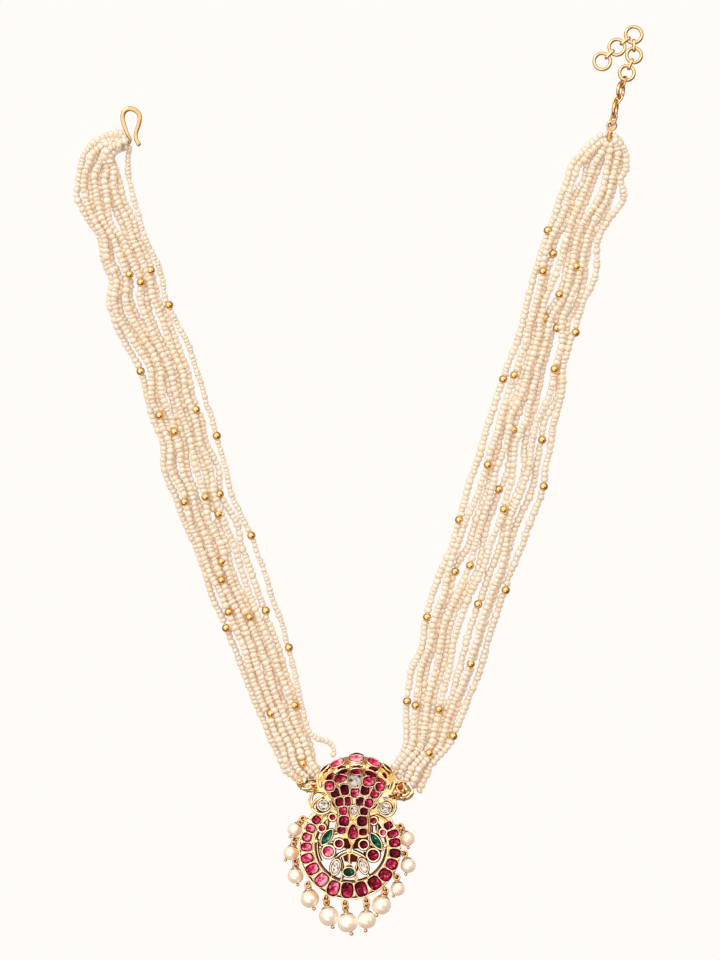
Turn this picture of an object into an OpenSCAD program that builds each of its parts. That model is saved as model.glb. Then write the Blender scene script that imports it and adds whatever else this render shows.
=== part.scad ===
// Unfastened necklace: two bundles of seed pearl strings, a gem set pendant, a hook and an extension chain.
// It lies flat on a surface at z = 0. The pendant points to -Y.
// Positions are counted on the surface in small steps, three to the millimetre,
// to the right and down from a corner at the upper left of the necklace.

/* [Strings] */

// Diameter of a string of seed pearls in mm
string_d = 2.2; // [1.9:0.05:2.2]
// Centre distance that stacked strings keep in mm
string_lay = 2.38; // [2.3:0.02:2.5]

/* [Pendant] */

// Thickness of the crescent band in mm
band_t = 2.6; // [2.2:0.1:2.8]
// Outer radius of the crescent band in mm
band_r = 17; // [16.8:0.1:17.2]
// Height of the stones above the metal in mm
stone_h = 1.2; // [0.8:0.1:1.4]

/* [Chain] */

// Wire diameter of the big rings in mm
ring_wire = 1.15; // [1.1:0.05:1.3]
// Wire diameter of the small oval links in mm
link_wire = 0.65; // [0.4:0.05:0.65]

/* [Hidden] */

step = 1 / 3;
mid = [359.7, 479.5];
sides = 8;
gold = [0.83, 0.62, 0.25];
pearl = [0.93, 0.87, 0.8];
ruby = [0.6, 0.05, 0.15];
emerald = [0.02, 0.3, 0.15];
white = [0.9, 0.9, 0.88];
brown = [0.3, 0.16, 0.08];
$fn = 48;

// Left bundle: [y, x of strings 0 to 9], counted from the outer edge
left_rows = [
    [180, 79.5, 85, 90, 95, 100, 105, 110, 114.5, 119, 129.5],
    [200, 79.5, 86, 92, 97.5, 102.5, 107.5, 112, 117, 124, 134.5],
    [220, 89.5, 94, 98.5, 102.5, 106.5, 110.5, 121, 127, 133, 139.5],
    [240, 101, 105, 110, 114.5, 119, 123, 129, 134, 139, 145],
    [260, 103.5, 107.5, 112.5, 122.5, 126.5, 132, 137, 142.5, 149.5, 156],
    [280, 112, 116.5, 121.5, 126, 131, 141.5, 146, 150, 154.5, 163],
    [300, 110, 114, 118.5, 127, 131, 140.5, 146.5, 154, 158.5, 165.5],
    [320, 115.5, 120, 125, 134, 139.5, 148, 152, 162, 168, 175.5],
    [345, 127.5, 137, 142, 149, 154, 159, 163, 170, 178, 188.5],
    [370, 141, 151.5, 156, 160, 164, 171, 175.5, 181, 187, 197],
    [395, 147, 152, 157, 162, 171, 176, 181, 186.5, 192, 204.5],
    [420, 154, 160, 166, 172, 178, 183, 189, 197, 201.5, 212.5],
    [445, 163.5, 170.5, 175, 179.5, 186, 191, 196, 201, 206.5, 219],
    [470, 164, 171, 175, 183, 187.5, 197.5, 205, 212, 219, 226.5],
    [495, 175.5, 184.5, 188, 192, 196, 205.5, 210, 215, 220.5, 231.5],
    [520, 184.5, 189, 193.5, 198, 204.5, 209, 217, 223, 236, 244],
    [545, 196, 200.5, 205, 209.5, 214, 221, 226, 234, 242, 255],
    [570, 204, 209, 213.5, 218, 222, 227, 232, 241, 250, 263.5],
    [595, 211.5, 221, 225.5, 229, 233, 238, 242.5, 250, 258.5, 271],
    [620, 223.5, 232, 237, 241.5, 246, 250, 254.5, 260, 267, 281],
    [645, 233, 243.5, 247.5, 251.5, 256, 260.5, 265.5, 270.5, 277, 288],
    [670, 244, 250.5, 254, 258, 266, 270, 275, 279, 284.5, 294.5],
    [695, 252.5, 260, 264, 268, 272, 276, 280.5, 289, 293, 300],
    [720, 263.5, 270.5, 274.5, 278.5, 282.5, 286.5, 290.5, 294.5, 299, 305.5],
    [745, 274.5, 282, 286, 290, 294, 298, 302, 306, 310.5, 318]
];

// Ends of the left strings, [x, y, height in mm], from the hook inwards
left_heads = [
    [[121, 134.5, 2.3], [114, 134, 2.3], [105, 136.5, 2.2], [95, 142, 2], [86, 152, 1.6], [81, 165, 1.2]],
    [[124.5, 143, 3.4], [117, 145.5, 3.4], [109, 145, 3.3], [101, 147, 3.2], [94, 154, 3.1], [88.5, 166, 3]],
    [[103, 153, 1.2], [97, 158, 1.2], [92, 168, 1.1]],
    [[108, 155, 3.3], [102.5, 160, 3.2], [98, 169, 3.1]],
    [[105.5, 167, 1.1]],
    [[107.5, 170, 3.1]],
    [[109.5, 176, 1.1]],
    [[114.5, 170, 3.3]],
    [[124, 147.5, 1.3], [117.5, 150.5, 1.2], [113, 156, 1.2], [113.5, 163, 1.1], [116, 171, 1.1]],
    [[129, 151, 0.9], [128, 159, 0.9], [128.5, 170, 0.9]]
];

// Ends of the left strings at the pendant
left_tails = [
    [[280, 757, 1.1], [284, 766, 1.1], [289.5, 773.5, 1.1], [294, 776, 1.1]],
    [[285, 757, 3.3], [287.5, 766, 3.3], [292.5, 773.5, 3.2], [296, 776, 3.2]],
    [[288, 752, 1.1]],
    [[293, 757, 3.5], [296, 766, 4], [300.5, 771.5, 4.3], [304.5, 774.5, 4.3]],
    [[296, 752, 1.1]],
    [[301, 757, 3.4], [304, 765, 3.3], [308.5, 770, 3.2], [312, 773, 3.2]],
    [[303.5, 757, 1.1], [304, 766, 1.1], [307, 772, 1.1], [311, 775, 1.1]],
    [[308.5, 757, 3.5], [311.5, 764, 4], [315.5, 767.5, 4.3], [317.5, 769.5, 4.3]],
    [[312.5, 757, 1.1], [314.5, 765, 1.1], [318, 770.5, 1.1]],
    [[311, 732, 2.6], [317, 738, 2.2], [326, 740.5, 1.3], [331.5, 744.5, 1], [334, 751, 1], [332, 757, 1]]
];

// Right bundle: [y, x of strings 0 to 9], counted from the side that faces the left bundle
right_rows = [
    [180, 568, 573.5, 584, 588.5, 593.5, 604, 607.5, 611.5, 615.5, 620],
    [200, 560.5, 566.5, 572.5, 580, 586, 597.5, 601.5, 606, 610, 623],
    [220, 554, 560, 566, 572, 578, 583.5, 588.5, 593.5, 602.5, 608.5],
    [240, 546, 550.5, 555, 566, 571, 576, 581, 586, 591, 597],
    [260, 539, 544, 549.5, 560.5, 568, 573, 577.5, 582, 586.5, 597],
    [280, 532.5, 541.5, 546, 554, 563.5, 568.5, 573, 577.5, 582.5, 594],
    [300, 527.5, 536, 540.5, 545.5, 557, 561.5, 566, 570.5, 579, 584],
    [320, 522.5, 531, 535, 539.5, 545, 550, 556, 562, 569, 577],
    [345, 515.5, 524.5, 531.5, 536, 540.5, 545, 549.5, 561, 565, 569],
    [370, 506.5, 516, 523.5, 528, 532.5, 537, 542, 554, 558.5, 563],
    [395, 498, 507, 516, 521, 526, 531, 537, 549.5, 557.5, 561.5],
    [420, 489.5, 499.5, 504.5, 509, 515, 525.5, 530, 537, 545, 554],
    [445, 482, 492.5, 497.5, 505.5, 510, 514.5, 525, 532, 539.5, 550],
    [470, 474.5, 486, 490.5, 496, 507, 513, 524, 528, 535, 545],
    [495, 465.5, 477, 486, 490.5, 497.5, 507, 516.5, 520, 529.5, 540.5],
    [520, 459, 465.5, 476, 482, 489, 500, 505.5, 509.5, 518.5, 531],
    [545, 452, 456, 469, 475.5, 482, 489.5, 500, 505, 510, 522],
    [570, 441.5, 448, 454.5, 467.5, 478, 482, 490.5, 499.5, 503, 512],
    [595, 432.5, 443.5, 448.5, 457, 463, 469, 482, 490.5, 494, 503],
    [620, 426, 433.5, 438.5, 445, 452, 459.5, 472.5, 482, 485.5, 494.5],
    [645, 422.5, 429, 434.5, 440, 446, 452.5, 465.5, 475, 478.5, 486.5],
    [670, 412.5, 421, 426, 436.5, 442.5, 449.5, 459, 466.5, 470.5, 480],
    [695, 407.5, 417, 423, 428.5, 435, 443, 452, 457, 462, 470],
    [720, 406, 414, 420, 425, 431, 436.5, 442, 447, 452, 460],
    [745, 406, 411, 415.5, 420.5, 425, 430, 434.5, 439.5, 444, 448.5]
];

right_heads = [
    [[602, 135.5, 1.6], [594, 142, 1.6], [585, 151, 1.4], [577, 159, 1.3], [571, 168, 1.2]],
    [[600, 143, 3.6], [592, 150, 3.4], [584.5, 159, 3.3], [577.5, 168, 3.1]],
    [[597, 150, 1.4], [589, 158, 1.2], [586, 168, 1.1]],
    [[602, 151, 3.5], [597, 160, 3.3], [592, 170, 3.1]],
    [[604, 151, 1.1], [601.5, 160, 1.1], [598, 170, 1.1]],
    [[609, 147, 3.4], [608.5, 157, 3.2], [606, 168, 3.1]],
    [[613.5, 151, 1.2], [613.5, 160, 1.1], [611, 170, 1.1]],
    [[617, 147, 3.4], [618, 157, 3.2], [615.5, 168, 3.1]],
    [[614, 136.5, 1.6], [620, 140, 1.5], [621.5, 150, 1.3], [621.5, 160, 1.1], [619, 170, 1.1]],
    [[624.5, 153, 3.3], [625.5, 162, 3.1], [624.5, 172, 3.1]]
];

right_tails = [
    [[395, 765, 1.1], [391, 771, 1.1]],
    [[395.5, 765, 3.5], [391.5, 771.5, 3.5]],
    [[402.5, 765, 1.1], [398, 773, 1.1]],
    [[404, 765, 3.5], [399, 774.5, 3.5]],
    [],
    [[412.5, 765, 3.3], [406.5, 777, 3.2]],
    [[416, 765, 1.1], [411, 776, 1.1], [408, 780, 1.1]],
    [[430.5, 755, 3.9], [421, 765, 4.5], [415.5, 775, 4.5], [413, 781, 4.3]],
    [[425.5, 765, 1.1], [419.5, 776, 1.1], [415, 784, 1.1]],
    [[430, 765, 3.3], [425, 776, 3.3], [420, 786, 3]]
];

// Places and routes
function at(p) = [(p[0] - mid[0]) * step, (mid[1] - p[1]) * step];

function at3(p) = concat(at(p), [p[2]]);

function rise(gap) = let(g = gap * step * 0.94) g < string_lay ? sqrt(string_lay * string_lay - g * g) : 0;

// Even strings lie on the surface, and odd ones ride up on their neighbours.
function lift(row, i) = i % 2 == 0 ? 0 : max(rise(row[i + 1] - row[i]), i < 9 ? rise(row[i + 2] - row[i + 1]) : 0);

function lift_near(rows, s, i) = let(a = lift(rows[s], i))
    max(a, s > 0 ? 0.5 * (a + lift(rows[s - 1], i)) * 0.9 : 0,
        s < len(rows) - 1 ? 0.5 * (a + lift(rows[s + 1], i)) * 0.9 : 0);

function route(rows, heads, tails, i, last) = [
    for (p = heads[i]) at3(p),
    for (s = [0:last]) concat(at([rows[s][i + 1], rows[s][0]]), [string_d / 2 + lift_near(rows, s, i)]),
    for (p = tails[i]) at3(p)
];

function unit(v) = v / norm(v);

function heading(line, k) = unit(line[min(k + 1, len(line) - 1)] - line[max(k - 1, 0)]);

function hoop(line, radii, k) = let(
    t = heading(line, k),
    s = unit(cross(t, [0, 0, 1])),
    u = cross(s, t)
) [for (a = [0:sides - 1]) line[k] + radii[k] * (cos(a * 360 / sides) * s + sin(a * 360 / sides) * u)];

// One closed tube along a route, with a point at each end.
module tube(line, radii) {
    n = len(line);
    first = line[0] - 0.8 * radii[0] * heading(line, 0);
    final = line[n - 1] + 0.8 * radii[n - 1] * heading(line, n - 1);
    points = concat([first], [for (k = [0:n - 1]) each hoop(line, radii, k)], [final]);
    m = sides * n + 1;
    faces = concat(
        [for (a = [0:sides - 1]) [0, 1 + (a + 1) % sides, 1 + a]],
        [for (k = [0:n - 2], a = [0:sides - 1]) each [
            [1 + k * sides + a, 1 + k * sides + (a + 1) % sides, 1 + (k + 1) * sides + (a + 1) % sides],
            [1 + k * sides + a, 1 + (k + 1) * sides + (a + 1) % sides, 1 + (k + 1) * sides + a]
        ]],
        [for (a = [0:sides - 1]) [m, m - sides + a, m - sides + (a + 1) % sides]]
    );
    polyhedron(points, [for (f = faces) [f[0], f[2], f[1]]]);
}

module left_string(i) {
    line = route(left_rows, left_heads, left_tails, i, i == 9 ? 23 : 24);
    r = i == 9 ? 0.9 : string_d / 2;
    color(pearl) tube(line, [for (p = line) r]);
}

module right_string(i) {
    line = route(right_rows, right_heads, right_tails, i, 24);
    color(pearl) tube(line, [for (p = line) string_d / 2]);
}

// Hook: [x, y, height, wire radius in mm]
hook_line = [
    [123.5, 137.5, 0.55, 0.4], [122.5, 141, 0.55, 0.42], [125, 144.5, 0.55, 0.45], [129, 143.5, 0.55, 0.5],
    [130.2, 139.5, 0.65, 0.55], [127.6, 134.5, 0.8, 0.62], [125.5, 129, 0.8, 0.68], [123.6, 123, 0.8, 0.7],
    [122.7, 117, 0.8, 0.72], [124.3, 112, 0.8, 0.75], [127.8, 109.4, 0.8, 0.8], [132, 109.1, 0.8, 0.8],
    [136, 110.9, 0.8, 0.78], [139, 114.2, 0.8, 0.75], [140, 118.5, 0.8, 0.72], [139.2, 123.5, 0.8, 0.7],
    [137.4, 129, 0.8, 0.68], [136, 134, 0.8, 0.66], [136.2, 139, 0.8, 0.66], [138, 143, 0.8, 0.68],
    [139.4, 145.2, 0.8, 0.7]
];

module hook() {
    color(gold) tube([for (p = hook_line) at3(p)], [for (p = hook_line) p[3]]);
}

// Extension chain
ring_z = 1.35;

// Rings: [x, y, height, outer radius, turn about z, tip about x, lean about y]
rings = [
    [602, 62, ring_z, 3.27, 0, 0, 0],
    [616.7, 47.8, ring_z, 3.17, 0, 0, 0],
    [633.4, 35.4, ring_z, 3.27, 0, 0, 0],
    [633.8, 55.9, ring_z, 3, 0, 0, 0],
    [626.5, 73.6, ring_z, 3, 0, 0, 0],
    [620, 91.5, 3.05, 3.15, -13, -14, 66],
    [614.4, 110, 3.45, 3.3, -8, 4, 76]
];

module ring_shape(outer, wire) {
    rotate_extrude() translate([outer - wire / 2, 0]) circle(d = wire, $fn = 20);
}

module chain_ring(i) {
    g = rings[i];
    color(gold) translate(at3(g)) rotate([0, 0, g[4]]) rotate([g[5], 0, 0]) rotate([0, g[6], 0])
        ring_shape(g[3], ring_wire);
}

module small_ring() {
    color(gold) translate(at3([611.3, 126.2, 2.4])) rotate([12, 0, 0]) ring_shape(1.8, 0.8);
}

// Oval link around two wires: half is the straight half length, bend the radius of its ends
module oval_link(half, bend) {
    for (s = [0, 180]) rotate([0, 0, s]) translate([0, half, 0])
        rotate_extrude(angle = 180) translate([bend, 0]) circle(d = link_wire, $fn = 16);
    for (s = [-bend, bend]) translate([s, 0, 0]) rotate([90, 0, 0])
        cylinder(h = 2 * half, d = link_wire, center = true, $fn = 16);
}

// Links: [x, y, height, turn about z, tip about x, roll about y, half, bend]
links = [
    [609.4, 54.9, ring_z, -46, 0, 90, 0.85, 1],
    [625, 41.6, ring_z, -53, 0, 90, 0.85, 1],
    [633.6, 46.1, ring_z, 1, 0, 90, 0.9, 1],
    [630.2, 64.7, ring_z, -22, 0, 90, 0.8, 1],
    [622.8, 82.6, 1.8, -19, -25, -58, 1, 1.1],
    [616.9, 100.4, 3.65, -40, 0, -18, 0.75, 1],
    [612.8, 120, 2.85, -18, 12, -43, 0.85, 1.1]
];

module chain_links() {
    color(gold) for (g = links) translate(at3(g)) rotate([0, 0, g[3]]) rotate([g[4], 0, 0])
        rotate([0, g[5], 0]) oval_link(g[6], g[7]);
}

module end_crimp() {
    color(gold) {
        translate(at3([609.8, 129.9, 2.2])) rotate([0, 90, 0]) ring_shape(1.3, 0.5);
        translate(at3([609.6, 133, 2.2])) rotate([90, 0, -10]) cylinder(h = 2.7, r = 0.75, $fn = 24);
    }
}

// Pendant
module px_poly(points) {
    polygon([for (p = points) at(p)]);
}

module disc(p, r, z0, z1) {
    translate(concat(at(p), [z0])) cylinder(h = z1 - z0, r = r * step, $fn = 32);
}

module bar(a, b, w, z0, z1) {
    p = at(a);
    q = at(b);
    l = norm(q - p);
    translate([p[0], p[1], z0]) rotate([0, 0, atan2(q[1] - p[1], q[0] - p[0])])
        translate([0, -w * step / 2, 0]) cube([l, w * step, z1 - z0]);
}

module band() {
    linear_extrude(band_t) difference() {
        translate(at([349.5, 848])) circle(r = band_r, $fn = 96);
        translate(at([351, 846])) circle(r = 12.1, $fn = 96);
        px_poly([[290, 780], [290, 816], [309, 816], [316, 811], [323, 800], [381, 800], [386, 811], [393, 819],
            [410, 819], [410, 780]]);
    }
}

// Round settings in the openwork: [x, y, radius]
round_seats = [
    [332.6, 817, 4], [322, 828, 4.2], [373.7, 820.6, 4.2], [383, 832.4, 4.1], [339, 843.5, 5.6],
    [363.8, 844.5, 5.7], [328.5, 851.5, 7.2], [373.3, 855, 7.2], [315.5, 840, 2.6], [385, 845, 3.2],
    [350, 850, 3.4], [344, 820.5, 6.4], [362, 820.5, 6.4], [341.5, 829.5, 5], [363.2, 831.5, 4.6]
];

// Oval settings: [x, y, half length, half width, turn of the long axis]
oval_seats = [
    [327, 837, 9, 5.8, 47], [376, 841, 9, 5.6, -53], [349, 872, 6.8, 5.4, 0], [335.5, 867, 8.6, 5.4, 76],
    [363.5, 866, 8.4, 5.2, 110]
];

// Wires: [x, y, x, y, width]
wires = [
    [327.5, 811, 326.3, 831, 2], [331, 811, 322, 819, 2.4], [322.5, 818, 320.5, 825, 2],
    [314.5, 839, 321.5, 842.5, 3], [318.2, 841, 317.6, 851, 2.2], [317.6, 850, 320.5, 861, 2.2],
    [322, 843, 320.3, 853, 2.2], [330, 842, 336, 843, 3], [345, 836, 350, 851, 3], [357.5, 836, 350, 851, 3],
    [350, 850, 335, 858, 3.4], [350, 850, 367.5, 859, 3.4], [349.5, 850, 349.3, 869, 2.6],
    [340, 857, 342.5, 871, 2], [358.5, 857, 355.5, 871, 2], [345, 874, 340, 882, 2.2], [353.5, 874, 357, 882, 2.2],
    [334, 873, 330.5, 879, 2.6], [366, 872, 369.5, 878, 2.6], [376.6, 822, 377.3, 836, 2.2],
    [369, 817, 371, 835, 2.2], [377, 817, 384, 826, 2], [384, 825, 385.6, 833, 2], [380, 846, 390, 846, 3],
    [380.5, 846, 378.5, 853, 2.4], [337, 812, 327, 813, 2.6], [370, 812, 386, 819, 3], [338, 832, 333, 833, 2.4],
    [343, 841, 352, 845, 7], [359, 842, 351, 845, 7], [366.5, 848, 369, 852, 3.4], [334.5, 848, 336.5, 845, 3]
];

module openwork() {
    for (s = round_seats) disc(s, s[2], 0.8, band_t);
    for (s = oval_seats) translate(concat(at(s), [0.8])) rotate([0, 0, s[4]])
        scale([s[2] * step, s[3] * step, 1]) cylinder(h = band_t - 0.8, r = 1, $fn = 32);
    for (w = wires) bar([w[0], w[1]], [w[2], w[3]], w[4], 0.8, 2);
}

// The fan plate slopes up to the arch.
fan_slope = 11;
fan_ref = 840;
fan_z = 3.4;

fan_outline = [
    [320, 780], [322, 788], [327, 793], [332, 799], [337, 805], [338, 812], [337.5, 819], [336, 829], [338.5, 835],
    [345, 838], [350, 850], [357, 838], [366.5, 836], [369, 831], [369, 820], [369.5, 812], [373, 806],
    [378, 800], [382, 793], [389, 789], [392, 780], [388, 772], [378, 767], [356, 762], [336, 765], [325, 771]
];

module fan() {
    intersection() {
        linear_extrude(12) px_poly(fan_outline);
        translate([0, (mid[1] - fan_ref) * step, fan_z]) rotate([fan_slope, 0, 0])
            translate([-30, -6, -1.1]) cube([60, 30, 1.1]);
    }
    intersection() {
        translate([0, 0, 0.8]) linear_extrude(6) px_poly([[338, 812], [337.5, 819], [336, 829], [338.5, 835], [345, 838],
            [350, 850], [357, 838], [366.5, 836], [369, 831], [369, 820], [369.5, 812]]);
        translate([0, (mid[1] - fan_ref) * step, fan_z]) rotate([fan_slope, 0, 0])
            translate([-30, -6, -5]) cube([60, 30, 4.6]);
    }
}

arch_at = [356.5, 802];

module arch_part(half_angle, points) {
    translate(at(arch_at)) rotate([0, 0, 90 - half_angle]) rotate_extrude(angle = 2 * half_angle, $fn = 96)
        polygon(points);
}

module arch() {
    arch_part(58, [[14.3, 5.2], [15.9, 6], [15.9, 6.5], [13.3, 10.7], [12.6, 11.1], [11.9, 10.8], [10.35, 9.4],
        [10.35, 8.9], [10.8, 8.85], [11.9, 9.8], [12.6, 10.2], [13, 9.8], [14.6, 6.7]]);
    arch_part(43, [[14.1, 0.5], [15, 0.5], [15.7, 6.2], [14.8, 6.2]]);
    for (a = [-56.5, 56.5]) translate(at(arch_at)) rotate([0, 0, 90 + a - 1.5]) rotate_extrude(angle = 3, $fn = 96)
        polygon([[12.3, 3.2], [13.2, 3.2], [15.2, 6.2], [12.8, 10.2], [12.4, 10.2]]);
    translate([0, 0, 5.5]) linear_extrude(1.8) px_poly([[316.5, 778], [318.5, 771.5], [327, 773], [324.5, 780],
        [324.5, 789], [320, 790], [317.5, 786]]);
    translate([0, 0, 5.1]) linear_extrude(2.1) px_poly([[386, 768], [391, 770], [395.5, 777], [394.5, 785],
        [391.5, 791], [386.5, 791], [387.5, 780]]);
}

module flat_ring(p, r, w, z0, z1) {
    translate(concat(at(p), [z0])) difference() {
        cylinder(h = z1 - z0, r = r * step, $fn = 40);
        translate([0, 0, -1]) cylinder(h = z1 - z0 + 2, r = (r - w) * step, $fn = 40);
    }
}

module scrolls() {
    flat_ring([317.5, 801.5], 9.5, 2.4, 1.2, 3.6);
    disc([323.8, 804.8], 6.6, 1.2, 3.6);
    bar([322, 812], [316, 815], 6, 0.8, 2.6);
    bar([326, 794], [330, 799], 5, 2, 5.2);
    bar([327, 806], [339, 812], 4, 1.2, 3.6);
    flat_ring([386.5, 806], 9.5, 2.4, 1.2, 3.6);
    disc([385, 807.8], 6.6, 1.2, 3.6);
    bar([386, 813], [390, 821], 6, 0.8, 2.6);
    bar([379, 799], [383, 797], 6, 2, 5.2);
    bar([369, 813], [380, 809], 4, 1.2, 3.6);
}

// Ribbed cup that holds the ends of a bundle: open on the side of the strings
module cup(p, long, wide, turn, cut_a, cut_b) {
    difference() {
        translate(at3(p)) rotate([0, 0, turn]) {
            scale([long * step, wide * step, 3]) sphere(r = 1, $fn = 40);
            for (s = [-0.5, 0, 0.5]) translate([s * long * step, 0, 0]) rotate([0, 90, 0])
                scale([1, wide * step / 3, 1])
                rotate_extrude($fn = 40) translate([3 * sqrt(1 - s * s), 0]) circle(r = 0.28, $fn = 12);
        }
        translate(at3(p)) rotate([0, 0, turn]) scale([long * step * 0.8, wide * step * 0.74, 2.4]) sphere(r = 1, $fn = 40);
        a = at(cut_a);
        b = at(cut_b);
        translate([a[0], a[1], -5]) rotate([0, 0, atan2(b[1] - a[1], b[0] - a[0])]) translate([-15, 0, 0])
            cube([40, 20, 20]);
        translate([-100, -200, -20]) cube([200, 400, 20]);
    }
}

module cups() {
    cup([309.5, 782, 2.9], 13.5, 9.5, -14, [290, 780.5], [330, 779.5]);
    cup([400.5, 789, 2.9], 14, 10.5, -20, [388, 777.5], [413, 792]);
    bar([317, 785.5], [328, 789], 6, 1.5, 4.8);
    bar([381, 790], [393, 790], 7, 1.5, 5);
}

module pendant_frame() {
    color(gold) {
        band();
        openwork();
        fan();
        arch();
        scrolls();
        cups();
        eyes();
    }
}

// Stones: [x, y, half length, half width, turn of the long axis]
gap = 0.03;

// Cut stone: half length and half width in steps, height in mm
module gem(r1, r2, h) {
    if (abs(r1 - r2) < 0.4) round_gem((r1 + r2) / 2 * step, h);
    else oval_gem(r1 * step, r2 * step, h);
}

module round_gem(r, h) {
    rotate_extrude($fn = 32) polygon([[0, 0], [0.96 * r, 0], [r, 0.12 * h], [r, 0.45 * h], [0.66 * r, h], [0, h]]);
}

module oval_gem(rx, ry, h) {
    n = 12;
    ring = function (k, z) [for (a = [0:n - 1]) [k * rx * cos(a * 360 / n), k * ry * sin(a * 360 / n), z]];
    low = [for (a = [n - 1:-1:0]) a];
    top = [for (a = [0:n - 1]) 2 * n + a];
    walls = [for (s = [0:1], a = [0:n - 1]) each [
        [s * n + a, s * n + (a + 1) % n, (s + 1) * n + (a + 1) % n],
        [s * n + a, (s + 1) * n + (a + 1) % n, (s + 1) * n + a]
    ]];
    polyhedron(concat(ring(0.97, 0), ring(1, 0.45 * h), ring(0.66, h)), [
        for (f = concat([low], walls, [top])) [for (k = [len(f) - 1:-1:0]) f[k]]
    ]);
}

module flat_gem(s, z, h) {
    translate(concat(at(s), [z + gap])) rotate([0, 0, s[4]]) gem(s[2], s[3], h);
}

module fan_gem(s, h) {
    translate([0, (mid[1] - fan_ref) * step, fan_z]) rotate([fan_slope, 0, 0])
        translate([(s[0] - mid[0]) * step, (fan_ref - s[1]) * step / cos(fan_slope), gap])
        rotate([0, 0, s[4]]) gem(s[2], s[3], h);
}

band_gems = [
    [316.3, 819.6, 4.4, 3.4, 38], [310.8, 828.2, 4.6, 3.9, 60], [307, 837, 4.6, 3.9, 75], [306.5, 846.8, 4.2, 4.8, 90],
    [307.3, 858, 4.9, 5.5, 100], [312.5, 868.8, 5.6, 6, 120], [321.8, 879.6, 6.4, 6.3, 140],
    [333.5, 888, 6.2, 6.9, 160], [347.3, 890, 6.2, 6.9, 0], [361.3, 888.8, 6.2, 6.7, 20],
    [374.6, 882.7, 6.5, 6, 38], [385.2, 874.4, 6.4, 5.6, 55], [391.8, 864, 5.6, 5, 70], [395, 853, 4.5, 4.9, 90],
    [394.8, 842.5, 4.4, 4.9, 90], [393, 833.6, 3.8, 4.8, 100], [388.3, 825.4, 3.9, 3.5, 130]
];

module band_rubies() {
    color(ruby) for (s = band_gems) flat_gem(s, band_t, stone_h + 0.3);
}

fan_gems = [
    [329.6, 785.8, 4.6, 4.6, 0], [341, 779.3, 5.5, 3.9, 10], [369, 782, 5.9, 4.4, -15], [380, 787, 4.6, 3.5, -35],
    [335.5, 793, 4.3, 4.3, 0], [344.6, 790.3, 4.3, 4.7, 0], [355.2, 793, 4.3, 4.3, 0], [365, 790.7, 4.3, 4.3, 0],
    [374.7, 793.8, 4.3, 4.2, 0], [339.8, 801.4, 4.1, 4.1, 0], [347.7, 801, 3.1, 4.2, 0], [360, 801.3, 3.7, 4.2, 0],
    [368.7, 802.6, 4, 4.3, 0], [343.2, 810.3, 3.8, 3.7, 0], [364, 811, 3.5, 3.5, 0], [344, 820.7, 4.9, 4.7, 0],
    [362, 820.7, 4.6, 4.9, 0], [341.5, 829.8, 3.9, 3, 0], [363, 831.5, 3.5, 3, 0], [353, 831.3, 6.6, 4.4, 90]
];

module fan_rubies() {
    color(ruby) for (s = fan_gems) fan_gem(s, stone_h - 0.2);
}

// Stones on the arch: [angle from the pendant axis, half length, half width, radius and height in mm]
outer_gems = [
    [-42, 5.6, 2.3, 15.35, 7.39], [-24.5, 7, 5.4, 14.6, 8.6], [0, 7.4, 5.6, 14.6, 8.6], [23, 7, 5.4, 14.6, 8.6],
    [41, 5.4, 2.3, 15.35, 7.39]
];
inner_gems = [[-48, 4.6, 3.1], [-26, 5.6, 3.2], [0, 5.9, 3.2], [26, 5.6, 3.2], [48, 4.4, 3.1]];

module arch_rubies() {
    color(ruby) for (s = outer_gems) translate(at(arch_at)) rotate([0, 0, 90 - s[0]]) translate([s[3], 0, s[4]])
        rotate([0, 58.3, 0]) translate([0, 0, gap]) rotate([0, 0, 90]) gem(s[1], s[2], 1);
    color(ruby) for (s = inner_gems) translate(at(arch_at)) rotate([0, 0, 90 - s[0]]) translate([11.12, 0, 10.1])
        rotate([0, -42, 0]) translate([0, 0, 0.22]) rotate([0, 0, 90]) gem(s[1], s[2], 0.8);
}

open_rubies = [
    [332.6, 817, 2.7, 2.7, 0], [322, 828, 3, 3, 0], [373.7, 820.6, 2.9, 2.9, 0], [383, 832.4, 2.8, 2.8, 0],
    [339, 843.5, 3.8, 3.8, 0], [363.8, 844.5, 4, 4, 0], [328.5, 851.5, 5.6, 5.6, 0], [373.3, 855, 5.6, 5.6, 0]
];

module openwork_rubies() {
    color(ruby) for (s = open_rubies) flat_gem(s, band_t, stone_h);
}

module emeralds() {
    color(emerald) {
        flat_gem([327, 837, 7.8, 4.6, 47], band_t, stone_h);
        flat_gem([376, 841, 7.8, 4.4, -53], band_t, stone_h);
        flat_gem([349, 872, 5.4, 4.2, 0], band_t, stone_h);
    }
}

module white_stones() {
    color(white) {
        flat_gem([335.5, 867, 7.2, 4, 76], band_t, stone_h - 0.3);
        flat_gem([363.5, 866, 7, 3.6, 110], band_t, stone_h - 0.3);
        flat_gem([323.8, 804.8, 5.4, 5, 0], 3.6, stone_h);
        flat_gem([385, 807.8, 5.4, 5, 0], 3.6, stone_h);
        fan_gem([355.5, 781, 6.7, 6.5, 0], stone_h);
        fan_gem([354.2, 810, 4.4, 3.3, 90], stone_h - 0.2);
    }
}

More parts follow.
